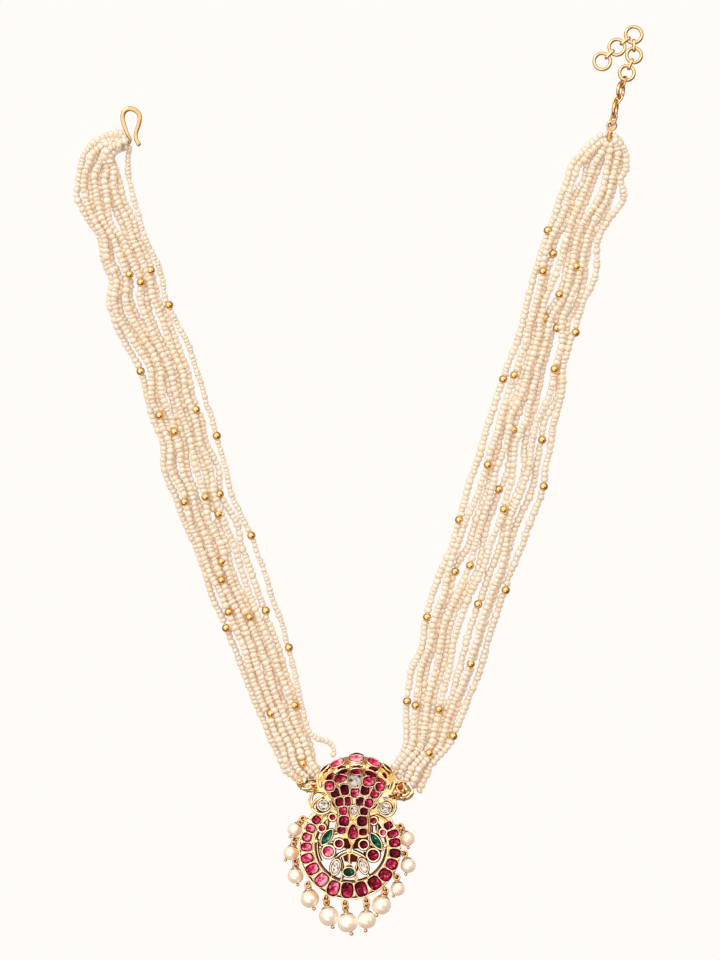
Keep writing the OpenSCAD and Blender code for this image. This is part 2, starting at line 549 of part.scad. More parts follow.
// Drops: [pearl x, y, diameter in steps, direction of the eye on the band x, y, end bead x, y]
drops = [
    [294.7, 829, 12.6, 304.5, 818, 290, 836.5], [291.2, 852.3, 14, 299.5, 839, 285, 860],
    [295.7, 875, 14.7, 296.5, 860, 298, 884.3], [310, 897.7, 17.5, 308, 883, 314.3, 908],
    [328.8, 915, 18.2, 326, 897, 332.6, 925.3], [347.6, 921.5, 19, 345, 902, 351.3, 932],
    [366.6, 918.7, 17.5, 366.5, 900, 365.6, 929.5], [381.3, 904, 18.2, 385.5, 889, 376.4, 914],
    [397.6, 888, 13.5, 397.5, 876, 392.8, 896], [408, 864.7, 13.3, 403.5, 852, 406, 872.5],
    [407, 838, 13.3, 399, 825, 408, 846.5]
];

band_mid = [349.5, 848];
eye_z = 1.4;

function drop_r(i) = drops[i][2] * step / 2;

function eye_out(i) = unit(at([drops[i][3], drops[i][4]]) - at(band_mid));

function eye_at(i) = concat(at(band_mid) + (band_r + 0.75) * eye_out(i), [eye_z]);

// Each eye is turned halfway from the radius towards its drop.
function eye_turn(i) = let(w = eye_out(i) + unit(at(drops[i]) - at(band_mid) - (band_r + 0.75) * eye_out(i)))
    atan2(w[1], w[0]);

// Middle of the loop that hangs in the eye
function loop_at(i) = eye_at(i) + 0.8 * [cos(eye_turn(i)), sin(eye_turn(i)), 0];

// Soldered eyes on the rim of the band
module eyes() {
    for (i = [0:10]) translate(eye_at(i)) rotate([90, 0, eye_turn(i)]) ring_shape(1.05, 0.45);
}

module drop_pearl(i) {
    d = drops[i];
    color(pearl) translate(concat(at(d), [drop_r(i)])) sphere(r = drop_r(i), $fn = 64);
}

// Loop through the eye, cap down to the pearl, and pin end below it
module drop_fitting(i) {
    d = drops[i];
    c = concat(at(d), [drop_r(i)]);
    l = loop_at(i);
    u = unit(l - c);
    e = concat(at([d[5], d[6]]), [drop_r(i)]);
    v = unit(e - c);
    turn = atan2(u[1], u[0]);
    tip = acos(u[2]);
    reach = norm(l - c) - drop_r(i) - 0.75;
    if (reach > 0.2) translate(c + (drop_r(i) + gap) * u) rotate([0, tip, turn])
        cylinder(h = reach, r1 = 0.75, r2 = 0.45, $fn = 20);
    translate(l) rotate([0, tip - 90, turn]) ring_shape(0.975, 0.45);
    translate(c + (drop_r(i) + 0.48) * v) sphere(r = 0.45, $fn = 24);
}

module drop_fittings() {
    color(gold) for (i = [0:10]) drop_fitting(i);
}

left_string(0);  // left_string_0
left_string(1);  // left_string_1
left_string(2);  // left_string_2
left_string(3);  // left_string_3
left_string(4);  // left_string_4
left_string(5);  // left_string_5
left_string(6);  // left_string_6
left_string(7);  // left_string_7
left_string(8);  // left_string_8
left_string(9);  // left_string_9
right_string(0);  // right_string_0
right_string(1);  // right_string_1
right_string(2);  // right_string_2
right_string(3);  // right_string_3
right_string(4);  // right_string_4
right_string(5);  // right_string_5
right_string(6);  // right_string_6
right_string(7);  // right_string_7
right_string(8);  // right_string_8
right_string(9);  // right_string_9
hook();
chain_ring(0);  // chain_ring_0
chain_ring(1);  // chain_ring_1
chain_ring(2);  // chain_ring_2
chain_ring(3);  // chain_ring_3
chain_ring(4);  // chain_ring_4
chain_ring(5);  // chain_ring_5
chain_ring(6);  // chain_ring_6
small_ring();
chain_links();
end_crimp();
pendant_frame();
band_rubies();
fan_rubies();
arch_rubies();
openwork_rubies();
emeralds();
white_stones();
drop_pearl(0);  // drop_pearl_0
drop_pearl(1);  // drop_pearl_1
drop_pearl(2);  // drop_pearl_2
drop_pearl(3);  // drop_pearl_3
drop_pearl(4);  // drop_pearl_4
drop_pearl(5);  // drop_pearl_5
drop_pearl(6);  // drop_pearl_6
drop_pearl(7);  // drop_pearl_7
drop_pearl(8);  // drop_pearl_8
drop_pearl(9);  // drop_pearl_9
drop_pearl(10);  // drop_pearl_10
drop_fittings();
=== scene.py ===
"""Unfastened seed pearl necklace with a gem set gold pendant, lying on a pale surface and seen from above.

Lengths in this script are millimetres, and MM turns them into metres where a mesh is made.
Places read off the photograph are counted in steps of a third of a millimetre, as in the CAD model.
"""

import math

import bpy
import numpy as np
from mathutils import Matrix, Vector
from mathutils.bvhtree import BVHTree


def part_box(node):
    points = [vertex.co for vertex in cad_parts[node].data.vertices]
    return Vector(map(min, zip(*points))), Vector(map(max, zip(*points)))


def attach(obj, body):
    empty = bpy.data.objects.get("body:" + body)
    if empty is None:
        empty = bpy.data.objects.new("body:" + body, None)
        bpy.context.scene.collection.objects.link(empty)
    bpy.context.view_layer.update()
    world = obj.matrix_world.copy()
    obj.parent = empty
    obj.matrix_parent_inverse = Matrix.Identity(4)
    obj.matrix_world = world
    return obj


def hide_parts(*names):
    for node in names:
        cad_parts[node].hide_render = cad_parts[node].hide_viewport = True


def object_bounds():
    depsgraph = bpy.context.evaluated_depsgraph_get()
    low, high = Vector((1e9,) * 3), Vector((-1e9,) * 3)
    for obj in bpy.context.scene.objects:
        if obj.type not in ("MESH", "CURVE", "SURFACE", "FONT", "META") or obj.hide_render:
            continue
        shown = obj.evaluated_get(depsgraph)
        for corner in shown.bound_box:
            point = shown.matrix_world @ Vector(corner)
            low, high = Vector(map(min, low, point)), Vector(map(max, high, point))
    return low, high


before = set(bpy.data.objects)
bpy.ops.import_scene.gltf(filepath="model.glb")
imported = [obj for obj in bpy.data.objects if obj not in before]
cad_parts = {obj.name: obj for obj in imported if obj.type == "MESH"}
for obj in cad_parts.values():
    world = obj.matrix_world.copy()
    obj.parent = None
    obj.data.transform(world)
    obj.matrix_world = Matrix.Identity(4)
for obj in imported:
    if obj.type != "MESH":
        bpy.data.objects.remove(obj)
cad_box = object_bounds()

MM = 0.001
# Millimetres in one step on the photograph, and the place on it of the frame's origin
STEP = 1 / 3
MID = (359.7, 479.5)
CAMERA_HEIGHT = 1200


# Geometry helpers

def place(x, y, z=0.0):
    """A point in millimetres from steps on the photograph and a height."""
    return np.array([(x - MID[0]) * STEP, (MID[1] - y) * STEP, z])


def seen(point):
    """A point moved in plan so that its height doesn't shift it in the picture."""
    k = 1 - point[2] / CAMERA_HEIGHT
    return point * (k, k, 1)


def unit(v):
    return v / max(np.linalg.norm(v), 1e-9)


def smooth_path(points, per_span=6):
    """Points of a smooth curve through the given points."""
    p = np.array(points, float)
    p = np.vstack([2 * p[0] - p[1], p, 2 * p[-1] - p[-2]])
    t = np.linspace(0, 1, per_span, endpoint=False)[:, None]
    out = []
    for a, b, c, d in zip(p, p[1:], p[2:], p[3:]):
        curve = 2 * b + (c - a) * t + (2 * a - 5 * b + 4 * c - d) * t**2 + (3 * b - a - 3 * c + d) * t**3
        out.append(0.5 * curve)
    return np.vstack(out + [p[-2:-1]])


def resample(path, step):
    """Evenly spaced points along a path, their directions and their distances from its start."""
    gaps = np.linalg.norm(np.diff(path, axis=0), axis=1)
    s = np.concatenate([[0], np.cumsum(gaps)])
    n = max(2, int(round(s[-1] / step)) + 1)
    at = np.linspace(0, s[-1], n)
    points = np.stack([np.interp(at, s, path[:, k]) for k in range(3)], 1)
    return points, directions(points), at


def directions(points, closed=False):
    if closed:
        d = np.roll(points, -1, 0) - np.roll(points, 1, 0)
    else:
        d = np.gradient(points, axis=0)
    return d / np.maximum(np.linalg.norm(d, axis=1), 1e-9)[:, None]


def frames(axis_dirs, up=(0, 0, 1)):
    """Two unit vectors square to each direction."""
    up = np.array(up, float)
    side = np.cross(axis_dirs, up)
    short = np.linalg.norm(side, axis=1) < 0.05
    side[short] = np.cross(axis_dirs[short], [0.0, 1.0, 0.0])
    side /= np.linalg.norm(side, axis=1)[:, None]
    return side, np.cross(side, axis_dirs)


def sweep(points, radii, sides=12, closed=False, flat=1.0, up=(0, 0, 1), square=1.0):
    """A tube along points; flat scales its second cross axis, square below 1 makes it boxy."""
    points = np.array(points, float)
    radii = np.broadcast_to(np.array(radii, float), (len(points),))
    side, over = frames(directions(points, closed), up)
    a = np.arange(sides) * 2 * math.pi / sides
    c, s = (np.sign(v) * np.abs(v) ** square for v in (np.cos(a), np.sin(a)))
    ring = c[None, :, None] * side[:, None] + flat * s[None, :, None] * over[:, None]
    verts = (points[:, None] + radii[:, None, None] * ring).reshape(-1, 3)
    n = len(points)
    faces = []
    for k in range(n if closed else n - 1):
        m = (k + 1) % n
        for i in range(sides):
            j = (i + 1) % sides
            faces.append((k * sides + i, k * sides + j, m * sides + j, m * sides + i))
    if not closed:
        faces.append(tuple(range(sides - 1, -1, -1)))
        faces.append(tuple((n - 1) * sides + i for i in range(sides)))
    return verts, faces


def turn_to(d, rng=None, wobble=0.0):
    """Rotation whose first column is d, tilted a little at random."""
    d = unit(np.asarray(d, float))
    if rng is not None:
        d = unit(d + rng.normal(0, wobble, 3))
    side = np.cross(d, (0, 0, 1))
    side = np.array([1.0, 0, 0]) if np.linalg.norm(side) < 0.05 else unit(side)
    return np.stack([d, side, np.cross(side, d)], 1)


def circle(centre, radius, axis, count):
    """Points of a circle round an axis."""
    turn = turn_to(axis)
    a = np.arange(count) * 2 * math.pi / count
    return centre + radius * (np.cos(a)[:, None] * turn[:, 1] + np.sin(a)[:, None] * turn[:, 2])


def sphere(segments, rings):
    """A unit sphere with its poles on the x axis."""
    verts = [(1.0, 0.0, 0.0)]
    for k in range(1, rings):
        a = math.pi * k / rings
        verts += [(math.cos(a), math.sin(a) * math.cos(b), math.sin(a) * math.sin(b))
                  for b in np.arange(segments) * 2 * math.pi / segments]
    verts.append((-1.0, 0.0, 0.0))
    faces = [(0, 1 + i, 1 + (i + 1) % segments) for i in range(segments)]
    for k in range(rings - 2):
        a, b = 1 + k * segments, 1 + (k + 1) * segments
        faces += [(a + i, b + i, b + (i + 1) % segments, a + (i + 1) % segments) for i in range(segments)]
    last = len(verts) - 1
    faces += [(last, last - segments + (i + 1) % segments, last - segments + i) for i in range(segments)]
    return np.array(verts), faces


BEAD, BEAD_FACES = sphere(12, 7)
ROUND, ROUND_FACES = sphere(24, 14)
PEARL, PEARL_FACES = sphere(40, 24)


def link(name, data):
    """A new object in the scene."""
    piece = bpy.data.objects.new(name, data)
    bpy.context.scene.collection.objects.link(piece)
    return piece


class Build:
    """Collects several shapes into one mesh, with a tone value for each vertex or each facet."""

    domain = "POINT"

    def __init__(self):
        self.verts, self.faces, self.tones, self.count = [], [], [], 0

    def add(self, verts, faces, tone=0.5):
        self.verts.append(np.asarray(verts, float))
        self.faces += [tuple(i + self.count for i in f) for f in faces]
        count = len(verts) if self.domain == "POINT" else len(faces)
        self.tones.append(np.broadcast_to(np.asarray(tone, float), (count,)))
        self.count += len(verts)

    def tube(self, *path, **shape):
        self.add(*sweep(*path, **shape))

    def hoop(self, centre, radius, axis, count, wire, sides):
        self.tube(circle(centre, radius, axis, count), wire, sides, closed=True, up=axis)

    def ball(self, centre, radius, tone=0.5):
        self.add(centre + radius * ROUND, ROUND_FACES, tone)

    def object(self, name, mat, slot="gold", replaces=()):
        mesh = bpy.data.meshes.new(name)
        mesh.from_pydata((np.vstack(self.verts) * MM).tolist(), [], self.faces)
        tone = mesh.attributes.new("tone", "FLOAT", self.domain)
        tone.data.foreach_set("value", np.concatenate(self.tones).astype(np.float32))
        if self.domain == "POINT":
            mesh.shade_smooth()
        mesh.materials.append(mat)
        mesh.update()
        piece = link(name, mesh)
        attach(piece, "root")
        if replaces:
            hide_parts(*replaces)


# What the CAD nodes say

TUBE_SIDES = 8


def node_mesh(name):
    """Merged vertices in millimetres and triangles of a CAD node."""
    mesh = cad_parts[name].data
    co = np.empty(len(mesh.vertices) * 3)
    mesh.vertices.foreach_get("co", co)
    co = co.reshape(-1, 3) / MM
    mesh.calc_loop_triangles()
    tri = np.empty(len(mesh.loop_triangles) * 3, int)
    mesh.loop_triangles.foreach_get("vertices", tri)
    _, first, back = np.unique(np.round(co, 3), axis=0, return_index=True, return_inverse=True)
    tri = back.ravel()[tri].reshape(-1, 3)
    return co[first], tri[(tri[:, 0] != tri[:, 1]) & (tri[:, 1] != tri[:, 2]) & (tri[:, 0] != tri[:, 2])]


def neighbours(count, tris):
    near = [set() for _ in range(count)]
    for a, b, c in tris:
        near[a] |= {b, c}
        near[b] |= {a, c}
        near[c] |= {a, b}
    return near


def layers_from(start, near):
    reached, layer, out = {start}, [start], []
    while layer:
        out.append(layer)
        layer = sorted({j for i in layer for j in near[i]} - reached)
        reached |= set(layer)
    return out, reached


def tube_route(name):
    """Ring centres and radii of a swept CAD tube, from its upper end on the photograph to its lower one."""
    verts, tris = node_mesh(name)
    near = neighbours(len(verts), tris)
    tips = [i for i in range(len(verts)) if len(near[i]) == TUBE_SIDES]
    layers, _ = layers_from(tips[0], near)
    rings = [np.array(layer) for layer in layers if len(layer) == TUBE_SIDES]
    centres = np.array([verts[r].mean(0) for r in rings])
    radii = np.array([np.linalg.norm(verts[r] - c, axis=1).mean() for r, c in zip(rings, centres)])
    if len(centres) > 2 and centres[0][1] < centres[-1][1]:
        centres, radii = centres[::-1], radii[::-1]
    return centres, radii


def solids(name):
    """Each separate solid of a CAD node as (vertices, triangles)."""
    verts, tris = node_mesh(name)
    near = neighbours(len(verts), tris)
    left, out = set(range(len(verts))), []
    while left:
        _, reached = layers_from(min(left), near)
        left -= reached
        keep = np.array(sorted(reached))
        index = {v: k for k, v in enumerate(keep)}
        own = [tuple(index[v] for v in t) for t in tris if t[0] in reached]
        out.append((verts[keep], np.array(own)))
    return out


# Materials

class Nodes:
    """Shorthand for building a node tree."""

    def __init__(self, tree):
        self.tree = tree
        self.shader = tree.nodes.get("Principled BSDF")

    def add(self, kind, links=None, **values):
        node = self.tree.nodes.new("ShaderNode" + kind)
        for key, value in values.items():
            setattr(node, key, value)
        for socket, source in (links or {}).items():
            self.put(node, socket, source)
        return node

    def put(self, node, socket, source):
        if isinstance(source, bpy.types.NodeSocket):
            self.tree.links.new(source, node.inputs[socket])
        else:
            node.inputs[socket].default_value = source

    def set(self, **values):
        for key, value in values.items():
            self.put(self.shader, key.replace("_", " "), value)

    def noise(self, scale, detail=2.0, at=None, rough=0.5):
        links = {"Scale": scale, "Detail": detail, "Roughness": rough, "Vector": at or self.where()}
        return self.add("TexNoise", links).outputs["Fac"]

    def where(self):
        return self.add("TexCoord").outputs["Object"]

    def tone(self):
        return self.add("Attribute", attribute_name="tone").outputs["Fac"]

    def math(self, op, a, b=0.0, clamp=False):
        return self.add("Math", {0: a, 1: b}, operation=op, use_clamp=clamp).outputs[0]

    def span(self, value, low, high, to_low=0.0, to_high=1.0):
        return self.add("MapRange", {0: value, 1: low, 2: high, 3: to_low, 4: to_high}).outputs[0]

    def mix(self, fac, a, b, blend="MIX"):
        node = self.add("Mix", data_type="RGBA", blend_type=blend)
        for index, value in ((0, fac), (6, a), (7, b)):
            if isinstance(value, tuple):
                value = value + (1.0,)
            self.put(node, index, value)
        return node.outputs[2]

    def ramp(self, fac, stops):
        node = self.add("ValToRGB", {0: fac})
        ramp = node.color_ramp
        while len(ramp.elements) < len(stops):
            ramp.elements.new(0.5)
        for element, (at, colour) in zip(ramp.elements, stops):
            element.position = at
            element.color = colour + (1.0,)
        return node.outputs[0]

    def bump(self, height, strength, depth, normal=None):
        links = {"Height": height, "Strength": strength, "Distance": depth}
        if normal is not None:
            links["Normal"] = normal
        return self.add("Bump", links).outputs[0]

    def crevice(self, reach):
        """0 in a deep crevice and 1 on an open surface."""
        node = self.add("AmbientOcclusion", {"Distance": reach}, samples=6)
        return node.outputs["AO"]


def new_material(name):
    mat = bpy.data.materials.new(name)
    mat.use_nodes = True
    return mat, Nodes(mat.node_tree)


def gold_material(name, bright, deep, dirt_and_shade_colour, rough, relief=0.000012, bevel=0.00012, metal=1.0, gloss=0.5):
    mat, m = new_material(name)
    wide = m.noise(180.0, 3.0)
    fine = m.noise(2400.0, 4.0)
    # Dirt and painted shade in the crevices: the gold turns amber there, and the dirt colour where deepest
    dirt_and_crevice_shade = m.span(m.crevice(0.0003), 0.66, 0.22)
    crevice_shade_tone = tuple(c * k for c, k in zip(deep, (0.85, 0.62, 0.55)))
    body = m.mix(m.span(wide, 0.35, 0.65), bright, deep)
    body = m.mix(m.span(dirt_and_crevice_shade, 0.0, 0.45), body, crevice_shade_tone)
    m.set(Base_Color=m.mix(m.span(dirt_and_crevice_shade, 0.45, 1.0), body, dirt_and_shade_colour), Metallic=metal, Specular_IOR_Level=gloss)
    base = m.span(fine, 0.3, 0.7, rough * 0.75, rough * 1.3)
    m.set(Roughness=m.math("ADD", base, m.math("MULTIPLY", dirt_and_crevice_shade, 0.25), clamp=True))
    hammered = m.math("ADD", m.noise(700.0, 2.0), m.math("MULTIPLY", fine, 0.1))
    normal = m.add("Bevel", {"Radius": bevel}, samples=4).outputs[0] if bevel else None
    m.set(Normal=m.bump(hammered, 1.0, relief, normal))
    return mat


def pearl_material(name, light, warm, shade, rough, lustre, glow, depth):
    mat, m = new_material(name)
    tone = m.tone()
    cloud = m.noise(900.0, 2.0)
    body = m.mix(m.span(tone, 0.15, 0.85), warm, light)
    body = m.mix(m.span(cloud, 0.3, 0.75, 0.0, 0.35), body, shade)
    # Painted shade: the crevices between pearls take the shade colour
    crevice_shade_mask = m.span(m.crevice(0.001), 0.0, 0.5)
    m.set(Base_Color=m.mix(crevice_shade_mask, shade, body))
    m.set(Roughness=m.span(cloud, 0.3, 0.7, rough * 0.8, rough * 1.25))
    m.set(Metallic=lustre, Subsurface_Weight=0.85, Subsurface_Scale=depth)
    m.set(Coat_Weight=0.25, Coat_Roughness=0.12, IOR=1.53)
    m.set(Subsurface_Radius=(1.0, 0.82, 0.66))
    # A painted glow in the shade colour lightens the pearls though they are no lamp
    m.set(Emission_Color=shade + (1.0,), Emission_Strength=glow)
    m.set(Normal=m.bump(m.noise(1500.0, 2.0), 0.6, 0.00005))
    return mat


def stone_material(name, stops, gloss=0.05):
    mat, m = new_material(name)
    cloud = m.noise(900.0, 2.0)
    tone = m.math("ADD", m.tone(), m.span(cloud, 0.3, 0.7, -0.08, 0.08), clamp=True)
    m.set(Base_Color=m.ramp(tone, stops), Roughness=m.span(m.noise(2000.0), 0.3, 0.7, 0.05, 0.12))
    m.set(Specular_IOR_Level=gloss, Coat_Weight=0.03, Coat_Roughness=0.03, IOR=1.6)
    m.set(Normal=m.bump(cloud, 0.3, 0.00003))
    return mat


def thread_material(name, light, dark):
    mat, m = new_material(name)
    wave = m.add("TexWave", {"Scale": 900.0, "Distortion": 3.0, "Detail": 2.0, "Vector": m.where()})
    fibre = wave.outputs["Fac"]
    m.set(Base_Color=m.mix(fibre, dark, light), Roughness=m.span(fibre, 0.0, 1.0, 0.7, 0.9))
    m.set(Normal=m.bump(fibre, 0.7, 0.00005))
    return mat


# Pearls: light and warm tones, colour of their painted shade and glow, roughness, lustre, strength of the
# painted glow, depth of the light in them
pearl_mat = pearl_material(
    "seed_pearl", (0.955, 0.852, 0.745), (0.94, 0.763, 0.61), (0.92, 0.69, 0.46), 0.26, 0.05, 0.085, 0.0018)
# The drops' warm tone is the colour of a painted gold reflection on their side towards the band
drop_mat = pearl_material(
    "drop_pearl", (1.0, 0.885, 0.78), (0.8, 0.49, 0.14), (1.0, 0.81, 0.65), 0.13, 0.3, 0.18, 0.0005)
# Golds: bright and deep tones, colour of the dirt and painted shade in the crevices, roughness, and depth of
# the hammering
ball_mat = gold_material(
    "gold_balls", (0.9, 0.63, 0.28), (0.87, 0.54, 0.19), (0.36, 0.12, 0.025), 0.05, 0.000005, bevel=0)
wire_mat = gold_material(
    "gold_wire", (0.84, 0.65, 0.34), (0.82, 0.55, 0.23), (0.28, 0.09, 0.025), 0.12, 0.000006, bevel=0.00006)
frame_mat = gold_material(
    "gold_frame", (1.0, 0.79, 0.42), (1.0, 0.71, 0.31), (0.2, 0.035, 0.012), 0.14, 0.0001)
# Paler gold for raised wires, leaves, rims, ribs and settings, which paints their highlights
highlight_gold_mat = gold_material("gold_highlight", (1.0, 0.88, 0.65), (1.0, 0.81, 0.51), (0.3, 0.07, 0.02), 0.14, 0.00004)
cap_mat = gold_material("gold_caps", (0.97, 0.7, 0.36), (0.93, 0.54, 0.21), (0.14, 0.035, 0.01), 0.15)
hook_mat = gold_material("gold_hook", (0.77, 0.55, 0.29), (0.72, 0.46, 0.2), (0.26, 0.08, 0.025), 0.2)
# Stones: colours from the darkest facets to the brightest
ruby_mat = stone_material("ruby", [
    (0.0, (0.012, 0.0, 0.002)), (0.25, (0.07, 0.001, 0.008)), (0.5, (0.28, 0.004, 0.03)),
    (0.7, (0.74, 0.018, 0.11)), (0.86, (0.96, 0.13, 0.29)), (1.0, (1.0, 0.54, 0.64))])
emerald_mat = stone_material("emerald", [
    (0.0, (0.0, 0.01, 0.005)), (0.45, (0.001, 0.065, 0.032)), (0.75, (0.008, 0.22, 0.12)),
    (1.0, (0.25, 0.68, 0.48))])
white_mat = stone_material("white_stone", [
    (0.0, (0.03, 0.02, 0.015)), (0.3, (0.16, 0.12, 0.09)), (0.5, (0.66, 0.6, 0.5)), (0.75, (0.9, 0.88, 0.83)),
    (1.0, (1.0, 1.0, 0.98))], 0.35)
garnet_mat = stone_material("garnet", [
    (0.0, (0.1, 0.004, 0.0)), (0.5, (0.42, 0.045, 0.006)), (0.8, (0.72, 0.17, 0.03)), (1.0, (0.9, 0.5, 0.3))])
thread_mat = thread_material("thread", (0.8, 0.66, 0.5), (0.5, 0.33, 0.2))
# Near-black brown that paints shade: in gaps, hollows, round stones and under wires
painted_shade_mat = gold_material(
    "gold_shade", (0.14, 0.02, 0.004), (0.08, 0.01, 0.002), (0.04, 0.005, 0.001), 0.6, metal=0.0, gloss=0.0)
# Dark amber gold that paints shade on the wall of the band's hole and beside the fan ribs
shaded_gold_mat = gold_material(
    "gold_shaded", (0.56, 0.17, 0.035), (0.3, 0.07, 0.012), (0.08, 0.012, 0.002), 0.3, metal=0.8)


# Strings of seed pearls

# Each string's gold balls (a third word marks one under other strings), and its pearls past the CAD tube:
# towards the hook or the crimp, and into the pendant's cups
STRINGS = {
    "left": [
        ([(141, 371.5), (250, 617)], [(127, 141, 2.4)], [(299, 778.5, 1.4)]),
        ([(160, 415.5), (185, 502, "under"), (229, 612, "under"), (271, 713, "under")],
         [(128.5, 141.5, 4.2)], [(301, 778.5, 3.0)]),
        ([], [(125, 144, 2.4), (116, 140.8, 2.2), (107, 141.8, 2.2), (100, 147.5, 1.8), (97.5, 153, 1.4)],
         [(292, 761, 1.2), (297, 769.5, 1.3), (302, 776.5, 1.6)]),
        ([(175, 432), (222, 580)], [(124, 148.5, 4.6), (116.5, 150, 5.0), (111.5, 152.5, 4.4)],
         [(308, 778.5, 4.0)]),
        ([(130, 275), (222, 561.5), (295, 705)],
         [(122, 149.5, 2.8), (113.5, 152.5, 2.8), (107.5, 159, 2.0)],
         [(299, 760, 1.2), (303, 768, 1.4), (306, 776, 2.0)]),
        ([(141.5, 283), (206, 497), (226.5, 627.5), (303, 762.5)],
         [(123, 146.5, 5.2), (114, 148.5, 5.4), (107, 155, 4.8), (105.5, 163, 3.6)], [(314, 777.5, 3.0)]),
        ([(219, 514)], [(119, 151.5, 3.0), (111.5, 156, 3.0), (108.5, 164, 2.2)], [(312.5, 779, 1.4)]),
        ([], [(123, 150, 4.0), (116, 153.5, 4.4), (111, 159, 4.2), (111, 165, 3.6)], [(318.5, 773.5, 4.2)]),
        ([(151.5, 271), (196.5, 410), (220, 494), (266, 610.5)], [(129, 146.5, 2.8)],
         [(319.5, 774.5, 1.4)]),
        ([(169.5, 305.5), (217, 436), (251.5, 535.5), (289, 647.5)], [(129.8, 145.5, 2.4)], []),
    ],
    "right": [
        ([(547.5, 231), (503, 379.5), (459, 520), (427, 617), (407, 701)], [(606.5, 138, 1.8)],
         [(390.5, 775.5, 1.4)]),
        ([(542.5, 272), (514, 375.5), (487.5, 465), (415.5, 705)], [(607, 140, 3.2)], [(391, 776, 3.4)]),
        ([(553, 254), (455, 571.5)], [(607, 141.5, 2.2), (601.5, 145, 1.8)], [(396.5, 777.5, 1.4)]),
        ([(470, 565.5)], [(607.5, 142, 3.8), (604.5, 146, 3.7)], [(398, 779, 3.4)]),
        ([(559, 295), (545, 318, "under"), (513, 430), (498.7, 489.5), (429, 752)],
         [(608, 143, 1.6), (606.5, 146.5, 1.3)], [(418, 757, 1.4), (410, 768, 1.5), (403.5, 778, 2.0)]),
        ([(503.5, 509.5), (439, 709)], [(608.8, 142.5, 3.2)], [(404.5, 781.5, 3.0)]),
        ([(576, 267), (556.5, 328.5), (478, 604)], [(609.5, 142.5, 1.8), (612, 146, 1.4)], []),
        ([(554, 369.5)], [(610.5, 141, 3.4), (614, 143.5, 3.4)], [(411, 785, 4.0)]),
        ([(542, 440), (470.5, 663.5)], [(610.5, 138.5, 1.8)], [(412.5, 788, 1.4)]),
        ([(575, 333), (543.5, 486.5), (505.5, 590), (453, 735.5)],
         [(611, 140, 3.8), (617, 142.5, 3.9), (622, 147, 3.6)], [(417, 791, 2.6)]),
    ],
}
# CAD points left out at the head of a string
HEAD_SKIP = {"left_string_2": 1}
# Width and pitch of the seed pearls, and of those of the thin string that lies loose
BEADS = (2.44, 1.6)
LOOSE_BEADS = (1.95, 1.28)
LOOSE_STRING = "left_string_9"
# Random spread of their lengths and widths, of their wander from the string's line, and of their tilt
LONG_SPREAD, WIDE_SPREAD, WANDER, TILT = 0.2, 0.1, 0.11, 0.25
PATH_STEP = 0.1
# Gold balls: width, reach along their string, and rise over it; they lie over strings that cross this near
GOLD_BALL_D = 2.8
BALL_REACH = 0.49 * GOLD_BALL_D
BALL_RISE = 0.55
CROSSING = 1.6
BARREL = np.sign(ROUND) * np.abs(ROUND) ** np.array([0.92, 1, 1]) * (0.97, 1, 1)


def make_string(name, balls, head, tail, seed, bead_d, pitch):
    """One string of seed pearls along its CAD route; returns its path and the gold balls on it."""
    rng = np.random.default_rng(seed)
    cad_part = list(tube_route(name)[0][HEAD_SKIP.get(name, 0):])
    route = [place(*p) for p in head] + cad_part + [place(*p) for p in tail]
    path, dirs, s = resample(smooth_path(route), PATH_STEP)
    spots = []
    for x, y, *under in balls:
        p = place(x, y)
        k = int(np.argmin(np.hypot(path[:, 0] - p[0], path[:, 1] - p[1])))
        p[2] = max(path[k, 2], GOLD_BALL_D / 2) + (0.0 if under else BALL_RISE)
        spots.append((p, dirs[k], s[k], under))
    beads = Build()
    drift = 0.0
    stops = sorted(spot[2] for spot in spots)
    starts = [0.5] + [c + BALL_REACH for c in stops]
    ends = [c - BALL_REACH for c in stops] + [s[-1] - 0.3]
    for start, end in zip(starts, ends):
        count = max(1, int(round((end - start) / pitch)))
        lengths = np.clip(rng.normal(1.0, LONG_SPREAD, count), 0.62, 1.5)
        lengths *= (end - start) / lengths.sum()
        for middle, long in zip(start + np.cumsum(lengths) - lengths / 2, lengths):
            size = bead_d * np.clip(rng.normal(1.0, WIDE_SPREAD), 0.78, 1.2)
            drift = 0.75 * drift + rng.normal(0, WANDER)
            k = int(np.clip(middle / s[1], 0, len(path) - 1))
            turn = turn_to(dirs[k], rng, TILT)
            centre = path[k] + drift * turn[:, 1] + rng.normal(0, 0.05) * turn[:, 2]
            centre[2] = max(centre[2], size * 0.47)
            axes = np.array([long * 0.64, size / 2, size / 2 * rng.uniform(0.92, 1.04)])
            beads.add(centre + (BEAD * axes) @ turn.T, BEAD_FACES, np.clip(rng.normal(0.55, 0.22), 0, 1))
    beads.object(name + "_pearls", pearl_mat, "seed_pearl", replaces=[name])
    return path, spots


def top_near(spot):
    """Height of the highest string that passes close to a spot."""
    close = [path[np.hypot(*(path - spot)[:, :2].T) < CROSSING, 2] for path in paths.values()]
    return max((heights.max() for heights in close if len(heights)), default=0.0)


def gold_balls(name, spots):
    """Polished balls; one that the photograph shows whole lies above the strings that cross its own."""
    balls = Build()
    for centre, d, _, hidden in spots:
        if not hidden:
            centre[2] = max(centre[2], top_near(centre) + 0.15)
        turn = turn_to(d)
        balls.add(centre + BARREL * GOLD_BALL_D / 2 @ turn.T, ROUND_FACES)
        for end in (-1, 1):
            rim_at = centre + end * turn[:, 0] * GOLD_BALL_D / 2 * 0.93
            balls.hoop(rim_at, 0.36, turn[:, 0], 16, 0.11, 6)
    balls.object(name, ball_mat)


